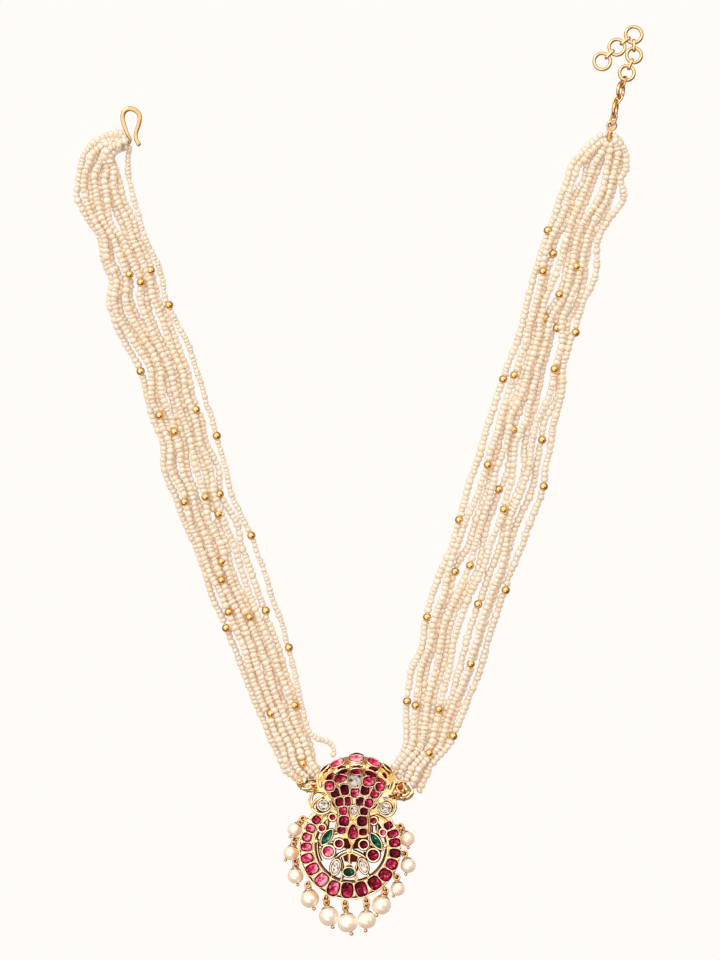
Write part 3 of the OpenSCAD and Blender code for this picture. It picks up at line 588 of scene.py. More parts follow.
paths = {}
for seed, (side, rows) in zip((0, 100), STRINGS.items()):
    side_balls = []
    for i, row in enumerate(rows):
        name = f"{side}_string_{i}"
        beads = LOOSE_BEADS if name == LOOSE_STRING else BEADS
        paths[name], found = make_string(name, *row, seed + i, *beads)
        side_balls += found
    gold_balls(f"gold_balls_{side}", side_balls)


# Threads that gather the strings into the hook's eye and into the crimp

HOOK_EYE = place(121.5, 143, 1.6)
CRIMP_TOP = place(609.6, 133, 2.2)
CRIMP_END = place(608.6, 141, 2.0)
# Strings that start this near to a knot are tied to it
KNOT_REACH = 9
THREAD_R, TIE_R = 0.2, 0.24

threads = Build()
thread_rng = np.random.default_rng(7)
for name, path in paths.items():
    run, _, _ = resample(path, 1.2)
    threads.tube(run, THREAD_R, 6)
    knot = HOOK_EYE if name.startswith("left") else CRIMP_END
    if np.linalg.norm(path[0] - knot) < KNOT_REACH:
        end = knot + thread_rng.normal(0, 0.25, 3)
        sag = np.array([*thread_rng.normal(0, 0.3, 2), 0.3])
        threads.tube(smooth_path([path[0], (path[0] + end) / 2 + sag, end], 8), TIE_R, 6)
threads.object("bead_threads", thread_mat, "seed_pearl")


# Hook, crimp and their windings

def helix(points, radius, turns, count=14):
    """A coil wound on a short path."""
    run, d, _ = resample(np.array(points, float), 0.02)
    n = int(turns * count)
    out = []
    for k in range(n + 1):
        j = min(int(k / n * (len(run) - 1)), len(run) - 1)
        turn = turn_to(d[j])
        a = 2 * math.pi * k / count
        out.append(run[j] + radius * (math.cos(a) * turn[:, 1] + math.sin(a) * turn[:, 2]))
    return np.array(out)


hook_line, hook_radii = tube_route("hook")
run, _, _ = resample(smooth_path(hook_line, 8), 0.35)
ends = np.linspace(0, 1, len(hook_radii))
wire = np.interp(np.linspace(0, 1, len(run)), ends, hook_radii)
hook = Build()
hook.tube(run, wire, 20, square=0.6)
for tip in (run[0], run[-1]):
    hook.ball(tip, wire[0] * 1.12)
hook.object("hook_wire", hook_mat, replaces=["hook"])

# Crimp: a coil of wire (radius, turns, wire radius) on a core, and the loop above it
COIL_R, COIL_TURNS, COIL_WIRE = 0.62, 6.5, 0.2
CORE_R = 0.5
CRIMP_LOOP, CRIMP_LOOP_R = place(609.8, 129.9, 2.2), 1.02
crimp = Build()
crimp.tube(helix([CRIMP_TOP, CRIMP_END], COIL_R, COIL_TURNS), COIL_WIRE, 8)
crimp.tube(np.array([CRIMP_TOP, (CRIMP_TOP + CRIMP_END) / 2, CRIMP_END]), CORE_R, 16)
crimp.tube(circle(CRIMP_LOOP, CRIMP_LOOP_R, (0.15, 0, 1), 40), 0.23, 10, closed=True)
crimp.object("crimp_coil", wire_mat, replaces=["end_crimp"])

# Links, each along the middle line of its CAD link; those further up the photograph than this are flat straps
STRAPS_ABOVE = 137
STRAP_HALF = 0.52
links = Build()
for verts, _ in solids("chain_links"):
    centre = (verts.max(0) + verts.min(0)) / 2
    axes = np.linalg.svd(verts - verts.mean(0), full_matrices=False)[2]
    half_long, half_wide, wire_r = np.abs((verts - centre) @ axes.T).max(0)
    bend = half_wide - wire_r
    a = np.linspace(0, 2 * math.pi, 40, endpoint=False)
    u = bend * np.cos(a) + np.sign(np.cos(a)) * (half_long - half_wide)
    loop = centre + u[:, None] * axes[0] + (bend * np.sin(a))[:, None] * axes[1]
    half = STRAP_HALF if centre[1] > STRAPS_ABOVE else 1.15 * wire_r
    links.tube(loop, wire_r, 12, closed=True, flat=half / wire_r, up=axes[2], square=0.8)
links.object("link_straps", wire_mat, replaces=["chain_links"])


# Cut stones

def outline(n, rx, ry, power, point, shift=0.0):
    """Outline with half sizes rx and ry; power above 2 makes it boxy, point above 0 points its ends."""
    t = (np.arange(n) + shift) * 2 * math.pi / n
    c, s = np.cos(t), np.sin(t)
    r = (np.abs(c) ** power + np.abs(s) ** power) ** (-1 / power)
    return np.stack([rx * r * c, ry * r * s * np.abs(s) ** point], 1)


def cut_stone(rx, ry, h, tone, rng, power, point=0.0, spread=0.2, lean=0.0):
    """Vertices, faces and facet tones of a stone with its table up; the facet tones paint light on its side
    towards lean and shade round its girdle.
    """
    n = 16
    full, half = outline(n, rx, ry, power, point), outline(n, rx, ry, power, point, 0.5)

    def ring(points, k, z):
        return [(x * k, y * k, z) for x, y in points]

    verts = ring(full, 0.97, 0) + ring(full, 1.0, 0.4 * h) + ring(half, 0.86, 0.78 * h)
    verts += ring(full[1::2], 0.62, h) + ring(full[::2], 0.3, h) + [(0, 0, h)]
    low, girdle, mid, table, inner, top = 0, n, 2 * n, 3 * n, 3 * n + n // 2, 4 * n
    faces, tones = [tuple(range(n - 1, -1, -1))], [tone]

    def face(f, t):
        faces.append(f)
        tones.append(float(np.clip(t, 0, 1)))

    # Painted light and shade: facets facing lean are lighter, those at the girdle darker
    lean += rng.normal(0, 0.5)
    for i in range(n):
        j = (i + 1) % n
        a = 2 * math.pi * i / n
        face((low + i, low + j, girdle + j, girdle + i), tone - 0.25)
        painted_lit_tone = tone - 0.28 + 0.14 * math.cos(a - lean) + rng.normal(0, spread * 0.6)
        face((girdle + i, girdle + j, mid + i), painted_lit_tone)
    for j in range(n // 2):
        m = (j + 1) % (n // 2)
        a = 2 * math.pi * (2 * j + 1) / n
        slant = math.cos(a - lean)
        painted_lit_tone = tone + 0.24 * slant + rng.normal(0, spread)
        odd, even = 2 * j + 1, (2 * j + 2) % n
        face((girdle + odd, mid + odd, table + j), painted_lit_tone)
        face((girdle + odd, table + j, mid + odd - 1), painted_lit_tone)
        face((mid + odd, girdle + even, mid + even), tone - 0.18 + rng.normal(0, spread))
        face((table + j, mid + odd, mid + even, table + m), tone + 0.08 + 0.2 * slant + rng.normal(0, spread))
        face((table + j, table + m, inner + m), tone + 0.16 * slant + rng.normal(0, spread))
        face((table + j, inner + m, inner + j), tone + 0.16 * slant + rng.normal(0, spread))
        face((inner + j, inner + m, top), tone - 0.1 + 0.1 * slant + rng.normal(0, spread))
    return np.array(verts, float), faces, tones


class FacetBuild(Build):
    """A Build whose tone belongs to whole facets, shaded flat."""

    domain = "FACE"


def stone_seat(verts, tris, along=None):
    """Base centre, axes (first, second, up), half sizes on the first two and height of a CAD stone."""
    a, b, c = verts[tris[:, 0]], verts[tris[:, 1]], verts[tris[:, 2]]
    normal = np.cross(b - a, c - a)
    size = np.linalg.norm(normal, axis=1)
    good = size > 1e-9
    flat = normal[good] / size[good][:, None]
    groups, back = np.unique(np.round(flat, 2), axis=0, return_inverse=True)
    weight = np.zeros(len(groups))
    np.add.at(weight, back.ravel(), size[good])
    pick = int(weight.argmax())
    up = -unit(flat[back.ravel() == pick].mean(0))
    height = verts @ up
    base = verts[height < height.min() + 0.02]
    centre = (base.max(0) + base.min(0)) / 2
    spread = verts - centre
    spread -= np.outer(spread @ up, up)
    if along is None:
        along = np.linalg.svd(spread, full_matrices=False)[2][0]
        along = along * np.sign(along[np.argmax(np.abs(along))])
    long = unit(along - up * (along @ up))
    short = np.cross(up, long)
    half_sizes = np.abs(spread @ long).max(), np.abs(spread @ short).max()
    return centre, np.stack([long, short, up], 1), *half_sizes, np.ptp(height)


# Tone of each stone, by its place on the photograph: (x, y, tone)
RUBY_TONES = [
    (316.3, 819.6, 0.45), (310.8, 828.2, 0.82), (307, 837, 0.8), (306.5, 846.8, 0.78), (307.3, 858, 0.74),
    (312.5, 868.8, 0.78), (321.8, 879.6, 0.86), (333.5, 888, 0.68), (347.3, 890, 0.42), (361.3, 888.8, 0.4),
    (374.6, 882.7, 0.36), (385.2, 874.4, 0.44), (391.8, 864, 0.5), (395, 853, 0.34), (394.8, 842.5, 0.5),
    (393, 833.6, 0.52), (388.3, 825.4, 0.34), (329.6, 785.8, 0.7), (341, 779.3, 0.6), (369, 782, 0.74),
    (380, 787, 0.62), (335.5, 793, 0.22), (344.6, 790.3, 0.2), (355.2, 793, 0.66), (365, 790.7, 0.22),
    (374.7, 793.8, 0.68), (339.8, 801.4, 0.42), (347.7, 801, 0.42), (360, 801.3, 0.26),
    (368.7, 802.6, 0.58), (343.2, 810.3, 0.64), (364, 811, 0.22), (344, 820.7, 0.34), (362, 820.7, 0.22),
    (341.5, 829.8, 0.52), (363, 831.5, 0.28), (353, 831.3, 0.56), (332.6, 817, 0.52), (322, 828, 0.56),
    (373.7, 820.6, 0.56), (383, 832.4, 0.74), (339, 843.5, 0.46), (363.8, 844.5, 0.34),
    (328.5, 851.5, 0.88), (373.3, 855, 0.34), (325.7, 767.8, 0.28), (338.3, 762, 0.8), (356.5, 758.2, 0.88),
    (373.6, 761.7, 0.72), (386.7, 767.2, 0.28), (331.7, 779.7, 0.36), (341.9, 772, 0.32),
    (356.5, 768.6, 0.52), (371.1, 772, 0.32), (381.3, 779.7, 0.58),
]


def tone_near(centre):
    x, y = centre[0] / STEP + MID[0], MID[1] - centre[1] / STEP
    return min(RUBY_TONES, key=lambda t: math.hypot(t[0] - x, t[1] - y))[2]


# The crescent band and its hole: middles, radii and top
BAND_MID, BAND_HOLE_MID = place(349.5, 848), place(351, 846)
BAND_R, BAND_HOLE_R = 17, 12.1
BAND_TOP = 2.6
# The arch: its middle, and the height of its surface at some radii
ARCH_MID = place(356.5, 802)
HOOD_PROFILE = ((10.35, 9.4), (11.9, 10.8), (12.6, 11.1), (13.3, 10.7), (15.9, 6.5))
# Its inner stones, higher than this in the CAD model, as they are seen on the photograph
ARCH_INNER_Z = 9.7
INNER_PLACES = [(329.4, 776.2), (341.6, 771.6), (356.4, 770.6), (371.2, 773), (382, 780.6)]
INNER_WIDER = 1.2
# Its outer stones beyond this distance from the axis lie on its steep ends
ARCH_END, END_NARROWER = 9, 0.6
# The upper rows of the fan are seen this much higher for each millimetre above the bend
FAN_BEND, FAN_LIFT = place(0, 800)[1], 0.09
# Factors on the half sizes of the CAD stones: usual ones, pointed ones, and the white one above the fan
STONE_GROW = {"band_rubies": (1.06, 0.88), "fan_rubies": (0.93, 1.04), "openwork_rubies": (0.92, 0.92),
              "emeralds": (1.0, 0.96)}
POINTED_RATIO = 1.4
POINTED_GROW = {"emeralds": (1.16, 0.78), "fan_rubies": (1.1, 0.95)}
SHIELD_ABOVE, SHIELD_GROW = place(0, 790)[1], (1.14, 1.14)
# Pointed stones: turns of the left and right emerald in degrees, point, pear shape and extra tone
EMERALD_TURNS = (56, -56)
POINT = 0.5
PEAR = 0.36
POINTED_TONE = 0.12
# Way towards which the facets of every stone are painted lighter
PAINTED_LIGHT_SIDE = np.array([0.8, -0.6, 0.0])

stones = []
PLATE = BVHTree.FromPolygons(*(part.tolist() for part in node_mesh("pendant_frame")))
pillars = Build()


def in_sight(centre, rx, ry):
    """The centre, raised on a pillar where the arch would hide the stone from above."""
    corners = [(0, 0), (0.8, 0.8), (-0.8, 0.8), (0.8, -0.8), (-0.8, -0.8)]
    tops = [PLATE.ray_cast(Vector((centre[0] + rx * x, centre[1] + ry * y, 50)), Vector((0, 0, -1)))[0]
            for x, y in corners]
    top = max(hit.z for hit in tops if hit is not None)
    if top < centre[2] + 0.5:
        return centre
    raised = np.array([centre[0], centre[1], top - 0.1])
    pillars.tube([centre, raised + (0, 0, 0.2)], 0.8 * min(rx, ry), 16)
    return raised


def pear_width(points, rx, axes):
    """Width factors along a stone that make its upper end on the photograph the narrow one."""
    return 1 - PEAR * np.sign(axes[1, 0]) * points[:, 0] / rx


def stone_place(name, centre, ry):
    """Where a stone is seen on the photograph, and its half width there."""
    if name != "arch_rubies":
        return seen(centre) + (0, FAN_LIFT * max(0.0, centre[1] - FAN_BEND), 0), ry
    if centre[2] > ARCH_INNER_Z:
        x, y = min(INNER_PLACES, key=lambda p: abs(place(*p)[0] - centre[0]))
        spot = seen(place(x, y, centre[2] + 0.5))
        radius = np.linalg.norm((spot - ARCH_MID)[:2])
        return np.array([spot[0], spot[1], np.interp(radius, *zip(*HOOD_PROFILE)) + 0.1]), ry * INNER_WIDER
    return centre, ry * (END_NARROWER if abs(centre[0] - ARCH_MID[0]) > ARCH_END else 1)


def cut_node(name, mat, slot, seed, power, tone=None, spread=0.14):
    """Cut stones in place of a CAD node's, all of one tone or each of its own from the table."""
    rng = np.random.default_rng(seed)
    build = FacetBuild()
    for verts, tris in solids(name):
        centre, _, rx, ry, _ = stone_seat(verts, tris)
        pointed = rx / ry > POINTED_RATIO and name in POINTED_GROW
        along = None
        if pointed and name == "emeralds":
            turn = math.radians(EMERALD_TURNS[int(centre[0] > ARCH_MID[0])])
            along = np.array([math.cos(turn), math.sin(turn), 0.0])
        elif name == "band_rubies":
            along = unit(centre - BAND_MID)
        elif name == "fan_rubies" and not pointed:
            along = np.array([1.0, 0.0, 0.0])
        centre, axes, rx, ry, h = stone_seat(verts, tris, along)
        own = tone_near(centre) if tone is None else tone + (POINTED_TONE if pointed else 0.0)
        centre, ry = stone_place(name, centre, ry)
        if name == "fan_rubies":
            centre = in_sight(centre, rx, ry)
        grow = POINTED_GROW[name] if pointed else STONE_GROW.get(name, (1.0, 1.0))
        if name == "white_stones" and centre[1] > SHIELD_ABOVE:
            grow = SHIELD_GROW
        rx, ry = rx * grow[0], ry * grow[1]
        lean = math.atan2(PAINTED_LIGHT_SIDE @ axes[:, 1], PAINTED_LIGHT_SIDE @ axes[:, 0])
        form = (2.0, POINT) if pointed else (power, 0.0)
        points, faces, tones = cut_stone(rx, ry, h, own, rng, *form, spread, lean)
        if pointed and name == "fan_rubies":
            points[:, 1] *= pear_width(points, rx, axes)
        build.add(centre + points @ axes.T, faces, tones)
        stones.append((name, centre, axes, rx, ry, h, pointed))
    build.object(name + "_cut", mat, slot, replaces=[name])


cut_node("band_rubies", ruby_mat, "ruby", 21, 2.9, spread=0.18)
cut_node("fan_rubies", ruby_mat, "ruby", 22, 2.9)
cut_node("arch_rubies", ruby_mat, "ruby", 23, 2.1, spread=0.1)
cut_node("openwork_rubies", ruby_mat, "ruby", 24, 2.0)
cut_node("emeralds", emerald_mat, "emerald", 25, 2.0, 0.32, 0.24)
cut_node("white_stones", white_mat, "white_stone", 26, 2.1, 0.74, 0.46)
pillars.object("stone_pillars", highlight_gold_mat)


# Pendant: settings round the stones, rims, wires and leaves soldered on the frame

# Wire radius of the ring of painted shade round each stone
SHADE_RING_R = 0.14
# Outline power, distance from the stone and wall radius of each kind of setting
SETTING = {
    "band_rubies": (2.9, 0.34, 0.13), "fan_rubies": (2.9, 0.34, 0.15), "arch_rubies": (2.0, 0.26, 0.2),
    "openwork_rubies": (2.0, 0.4, 0.34), "emeralds": (2.0, 0.26, 0.22), "white_stones": (2.0, 0.26, 0.24)}
settings, rib_shadow_lines, painted_shade_lines = Build(), Build(), Build()
for name, centre, axes, rx, ry, h, sharp in stones:
    power, away, wall = SETTING[name]
    # Each stone gets its setting and a ring of painted shade round it; the openwork rubies, emeralds and
    # white stones below the fan's bend get a second, wider one outside the setting
    rings = [(settings, away, wall, 0.5), (painted_shade_lines, 0.08, SHADE_RING_R, 0.46)]
    if name in ("openwork_rubies", "emeralds", "white_stones") and centre[1] < FAN_BEND:
        rings.append((painted_shade_lines, away + wall, 0.22, 0.0))
    for build, grow, thick, level in rings:
        edge = outline(32, rx + grow, ry + grow, power, POINT if sharp else 0.0)
        if sharp and name == "fan_rubies":
            edge[:, 1] *= pear_width(edge, rx + grow, axes)
        rim = centre + np.concatenate([edge, np.full((32, 1), h * level)], 1) @ axes.T
        build.tube(rim, thick, 8, closed=True, flat=1.3, up=axes[:, 2], square=0.6)
settings.object("stone_settings", highlight_gold_mat)

# Gold leaves between the stones of the band, bright in the paler gold that paints their highlights
band_leaves = Build()
BAR = np.sign(ROUND) * np.abs(ROUND) ** np.array([0.8, 0.7, 0.35])
row = [c for n, c, *_ in stones if n == "band_rubies"]
row.sort(key=lambda c: (math.atan2(c[1] - BAND_MID[1], c[0] - BAND_MID[0]) - math.pi / 2) % (2 * math.pi))
for a, b in zip(row, row[1:]):
    c = (a + b) / 2
    out = unit((c - BAND_MID) * (1, 1, 0))
    axes = np.stack([out, (-out[1], out[0], 0), (0, 0, 1)], 1)
    for t, long, wide in ((1.05, 1.15, 0.56), (-0.55, 1.7, 0.36)):
        at = c + out * t
        at[2] = BAND_TOP + 0.3
        band_leaves.add(at + BAR * (long, wide, 0.5) @ axes.T, ROUND_FACES)
band_leaves.object("band_leaves", highlight_gold_mat)


# Middle, radius, and first and last angle of the band's two edges
RIM = (BAND_MID, BAND_R, 143, 393)
HOLE = (BAND_HOLE_MID, BAND_HOLE_R, 128, 412)


def arc(edge, wider, z, count=90):
    """Points along an edge of the band."""
    mid, radius, start, end = edge
    a = np.radians(np.linspace(start, end, count))
    radius += wider
    return np.stack([mid[0] + radius * np.cos(a), mid[1] + radius * np.sin(a), np.full(count, z)], 1)


rims = Build()
rims.tube(arc(RIM, -0.3, BAND_TOP + 0.1), 0.34, 12, square=0.6)
rims.tube(arc(HOLE, 0.28, BAND_TOP + 0.1), 0.38, 12, square=0.6)
rims.object("band_rims", highlight_gold_mat)
# A line of painted shade inside the band's outer rim
painted_shade_lines.tube(arc(RIM, -0.84, BAND_TOP + 0.22), 0.22, 8)

# Sloping wall round the band's hole, in a dark amber gold that paints its shade
lining = Build()
strip = np.vstack([arc(HOLE, 0.05, BAND_TOP - 0.15), arc(HOLE, -0.8, 0.25), arc(HOLE, 0.05, 0.15)])
n = len(strip) // 3
lining_faces = [(a * n + k, a * n + k + 1, b * n + k + 1, b * n + k)
                for a, b in ((0, 1), (1, 2), (2, 0)) for k in range(n - 1)]
lining.add(strip, lining_faces + [(0, n, 2 * n), (3 * n - 1, 2 * n - 1, n - 1)])
lining.object("band_lining", shaded_gold_mat)

# Wires of the openwork: (points, width in steps)
WIRE_Z = 2.0
WIRES = [
    ([(327.5, 811), (327.8, 821), (326.3, 831)], 1.7), ([(331, 811), (326, 814), (322, 819)], 2.0),
    ([(322.5, 818), (321.6, 821.5), (320.5, 825)], 1.7), ([(314.5, 839), (318, 841), (321.5, 842.5)], 2.4),
    ([(318.2, 841), (317.3, 846), (317.6, 851)], 1.8), ([(317.6, 850), (318.6, 855.6), (320.5, 861)], 1.8),
    ([(322, 843), (320.4, 848), (320.3, 853)], 1.8), ([(330, 842), (333, 842.9), (336, 843)], 2.2),
    ([(345, 836), (347, 843), (350, 851)], 2.2), ([(357.5, 836), (355, 843), (350, 851)], 2.2),
    ([(350, 850), (342, 853), (335, 858)], 2.6), ([(350, 850), (359, 853.5), (367.5, 859)], 2.6),
    ([(349.5, 850), (349.6, 859), (349.3, 869)], 2.0), ([(340, 857), (341.8, 864), (342.5, 871)], 1.7),
    ([(358.5, 857), (357.4, 864), (355.5, 871)], 1.7), ([(345, 874), (342, 877.5), (340, 882)], 1.8),
    ([(353.5, 874), (356, 878), (357, 882)], 1.8), ([(334, 873), (331.8, 876), (330.5, 879)], 2.0),
    ([(366, 872), (368.2, 875), (369.5, 878)], 2.0), ([(376.6, 822), (377.8, 829), (377.3, 836)], 1.8),
    ([(369, 817), (370.9, 826), (371, 835)], 1.8), ([(377, 817), (381.5, 821), (384, 826)], 1.7),
    ([(384, 825), (385.3, 829), (385.6, 833)], 1.7), ([(380, 846), (385, 845.6), (390, 846)], 2.4),
    ([(380.5, 846), (380, 849.5), (378.5, 853)], 2.0), ([(337, 812), (332, 811.8), (327, 813)], 2.1),
    ([(370, 812), (379, 814.5), (386, 819)], 2.3), ([(338, 832), (335.5, 832.9), (333, 833)], 2.0),
]

wires = Build()
for points, width in WIRES:
    run = smooth_path([seen(place(x, y, WIRE_Z)) for x, y in points], 8)
    wires.tube(run, width * STEP / 2, 10)
    # Painted shadow of each wire: a dark tube under it, shifted to one side
    painted_shade_lines.tube(run + (0.1, -0.06, -0.35), width * STEP / 2 + 0.3, 8)
wires.object("openwork_wires", highlight_gold_mat)

# Height of the fan plate at a place on the photograph, and its rise
FAN_Z, FAN_REF, FAN_RISE = 3.4, 840, math.tan(math.radians(11))


def on_plate(x, y, above):
    """A point on the fan plate, seen at a place on the photograph."""
    return seen(place(x, y, FAN_Z + (FAN_REF - y) * STEP * FAN_RISE + above))


# Dark leaves in the painted shade material: two on the tip of the fan plate (True), and others behind the
# crossing wires, where they paint the shade of the openings
SHADE_Z = 1.75
SHADES = [
    (True, [(343.4, 838), (347.6, 838.4), (351.2, 843.4), (351, 848.6), (346.4, 849), (343.4, 847.4),
      (345.6, 843)]),
    (True, [(353, 845.4), (354.6, 840.4), (360, 837), (368, 836), (368.4, 840.4), (361, 843.6),
      (359.4, 848.6), (354, 849)]),
    (False, [(342.6, 855.4), (348.9, 852.6), (349, 862), (344.6, 861.4)]),
    (False, [(350.4, 852.6), (358.2, 856), (357.4, 862), (350.4, 862)]),
    (False, [(327, 843), (329.6, 845.4), (326, 847), (323.4, 851), (322.4, 847.6)]),
    (False, [(368.4, 846.4), (372, 845), (378, 847.4), (374, 849.4)]),
    (False, [(363.4, 851.4), (367.6, 852.4), (367.4, 857.7), (363.6, 856)]),
    (False, [(370.5, 847), (377, 849), (378.5, 852.5), (371.5, 851)]),
    (False, [(335.3, 854.2), (346.5, 849.2), (347.2, 851), (335.6, 857)]),
]
shades = Build()
for raised, points in SHADES:
    top = np.array([on_plate(x, y, 0.07) if raised else seen(place(x, y, SHADE_Z)) for x, y in points])
    low = top - (0, 0, 0.3)
    n = len(points)
    shades.add(np.vstack([top, low]), [tuple(range(n - 1, -1, -1)), tuple(range(n, 2 * n))]
               + [(k, (k + 1) % n, n + (k + 1) % n, n + k) for k in range(n)])
shades.object("openwork_shades", painted_shade_mat)

# Holders of the string ends: (middle, half length, half width, turn)
LEFT_CUP = ((309.5, 782), 13.5, 9.5, -14)
RIGHT_CUP = ((400.5, 789), 14, 10.5, -20)
CUP_Z, CUP_HIGH = 2.9, 3.05
# Bright ridges in the paler highlight gold, folds, and hollows of painted shade of each holder: (points,
# radius in mm)
CUP_CURVES = [
    (LEFT_CUP,
     [([(312.5, 783.9), (316, 783.4), (320.5, 783.2)], 0.32),
      ([(303, 785.6), (306.5, 784.7), (310, 784.2), (313.5, 783.8)], 0.26),
      ([(300.5, 786), (303, 788.2), (307.5, 788.4), (312, 786.6)], 0.45),
      ([(315.5, 786.4), (318.5, 786.6), (321.5, 785.2)], 0.26),
      ([(303, 777.4), (304.8, 780.5), (304.4, 784.6)], 0.65),
      ([(316.2, 777.2), (317.4, 778.6), (318.4, 780.2)], 0.5)],
     [([(309, 789.6), (313, 790.2), (317, 789.8), (320.4, 788.6)], 0.5),
      ([(312, 785), (316, 785), (320.5, 784.8)], 0.3), ([(311, 788), (315, 788.2), (319, 787.8)], 0.32)],
     [([(307.2, 779.4), (307.4, 781.5), (307.2, 783.2)], 0.28),
      ([(312, 782.2), (315.5, 781.7), (319, 781.6)], 0.14), ([(312.2, 785.5), (315.4, 785.5)], 0.17),
      ([(313, 787.5), (317, 787.4)], 0.15), ([(311, 780.6), (315.4, 779.4)], 0.16),
      ([(303.6, 782.4), (302, 784.6)], 0.26), ([(312, 791.5), (316, 791.5)], 0.16)]),
    (RIGHT_CUP,
     [([(393.4, 782), (395.5, 782.3), (397.4, 783.2)], 0.5),
      ([(396.6, 790.4), (399.3, 792.2), (402.4, 794.2)], 0.3),
      ([(402, 791), (403.6, 790.4), (405.6, 791.6)], 0.24),
      ([(403.5, 798), (408.5, 796.3), (411.7, 793), (412.8, 789)], 0.46),
      ([(402, 795.6), (406.5, 794.6), (409.6, 791.6)], 0.34),
      ([(400, 797), (402.5, 797.8), (405, 797.4)], 0.38), ([(392, 789.4), (395.2, 791), (398.4, 794)], 0.3),
      ([(402.6, 783.4), (404, 785.6), (403.6, 788.8)], 0.26)],
     [([(393, 785), (390.6, 788.6), (389.7, 792), (390.2, 796.4)], 0.62),
      ([(395.4, 792.6), (394, 795.6), (392.4, 798.6)], 0.46),
      ([(398, 793.8), (398.2, 796), (397, 798.4)], 0.42),
      ([(397.6, 784), (400.5, 781.9), (403, 782), (405, 783.4)], 0.48),
      ([(396.6, 785.5), (396.8, 788), (398.6, 790.4), (402, 790.6)], 0.4)],
     [([(394.2, 784.2), (397, 784.4)], 0.17), ([(400, 794.2), (402.2, 796.2)], 0.24),
      ([(404.2, 789.8), (404.8, 791)], 0.28), ([(388, 790.5), (387.8, 793)], 0.22),
      ([(389, 796.6), (391, 797.8)], 0.24), ([(392.6, 798.6), (395, 799)], 0.2),
      ([(396.5, 793.6), (396.4, 796.2)], 0.17), ([(404.8, 784.6), (406.4, 783)], 0.2),
      ([(393.6, 786.8), (394.6, 788)], 0.16)]),
]


def on_cup(cup, x, y, above=0.0):
    """A point on a holder, seen at a place on the photograph."""
    middle, long, wide, turn = cup
    dx, dy, _ = place(x, y) - place(*middle)
    ca, sa = math.cos(math.radians(turn)), math.sin(math.radians(turn))
    u, v = (dx * ca + dy * sa) / (long * STEP), (dy * ca - dx * sa) / (wide * STEP)
    return seen(place(x, y, CUP_Z + CUP_HIGH * math.sqrt(max(0.05, 1 - u * u - v * v)) + above))


def taper(count, start, power):
    """Factors that thin a curve towards both of its ends."""
    return np.sin(np.linspace(start, math.pi - start, count)) ** power


ridges, folds = Build(), Build()
# Height over the holder and fullness of its ridges, folds and painted shade hollows
CUP_LAYERS = ((ridges, 0.12, 1.25), (folds, 0.0, 1.25), (painted_shade_lines, 0.38, 1.0))
for cup, *tables in CUP_CURVES:
    for table, (build, above, full) in zip(tables, CUP_LAYERS):
        for points, radius in table:
            run = smooth_path([on_cup(cup, x, y, above) for x, y in points], 8)
            build.tube(run, radius * taper(len(run), 0.4, 0.6) * full, 10, square=0.8)
small_ring_at, claw_ball_at = on_cup(LEFT_CUP, 299.5, 780.5, 0.6), on_cup(RIGHT_CUP, 406.4, 789.6, 0.4)
folds.tube(circle(small_ring_at, 1.05, (0.1, 0.1, 1), 28), 0.22, 10, closed=True)
ridges.ball(claw_ball_at, 0.62)
ridges.object("cup_ribs", highlight_gold_mat)
folds.object("cup_curls", cap_mat)
ring_bead = Build()
ring_bead.ball(small_ring_at - (0, 0, 0.2), 0.82, 0.4)
ring_bead.object("ring_bead", pearl_mat, "seed_pearl")
garnet = FacetBuild()
points, faces, tones = cut_stone(0.85, 1.05, 0.8, 0.5, np.random.default_rng(27), 2.2)
garnet.add(on_cup(RIGHT_CUP, 400.3, 787, 0.1) + points, faces, tones)
garnet.object("garnet_cut", garnet_mat, "ruby")

# Raised arch: bows round its outer stones and teeth between them, by their angles from the pendant's axis
OUTER_STONES = (-24.5, 0, 23)
TEETH = (-34, -12.2, 11.5, 32)


def on_hood(angle, radius, above=0.0):
    """A point on the arch, by its angle from the pendant's axis in degrees and its radius."""
    z = float(np.interp(radius, *zip(*HOOD_PROFILE)))
    a = math.radians(angle)
    return ARCH_MID + (0, 0, z + above) + radius * np.array([math.sin(a), math.cos(a), 0])


# Ribs on the fan plate in the paler gold that paints their highlights, each with a painted shadow on both
# sides
FAN_RIBS = [
    [(333.6, 774), (335.2, 781), (339.4, 790), (343.6, 798.8), (347.4, 807.4)],
    [(347, 776), (349.4, 788.8), (351.2, 800), (351.4, 805)],
    [(362.4, 776), (360.6, 788.8), (357.8, 800), (357.4, 805)],
    [(376.4, 775.6), (375, 781), (370.6, 792), (365, 800.4), (360, 807.4)],
    [(324.4, 787), (329.6, 795.2), (335, 803.8), (338.6, 812)],
    [(385.4, 787.5), (379.6, 796), (373.2, 805), (368.4, 812)],
    [(348.6, 805.6), (347.8, 811.4), (349, 816.8), (352.6, 821)],
    [(358.2, 805.6), (359.4, 811.4), (357.2, 816.8), (353.6, 821)],
    [(338.6, 812), (337.8, 820), (335.6, 831)], [(368.4, 812), (369.4, 822), (369.2, 834)],
]
RIB_R, SHADOW_R, SHADOW_SHIFT = 0.27, 0.12, 0.34
ribs = Build()
for points in FAN_RIBS:
    run = smooth_path([on_plate(x, y, 0.3) for x, y in points], 8)
    ribs.tube(run, RIB_R, 10, flat=1.5)
    for side in (-SHADOW_SHIFT, SHADOW_SHIFT):
        rib_shadow_lines.tube(run + (side, 0, -0.1), SHADOW_R, 6)
ribs.object("fan_ribs", highlight_gold_mat)
rib_shadow_lines.object("rib_shadows", shaded_gold_mat)

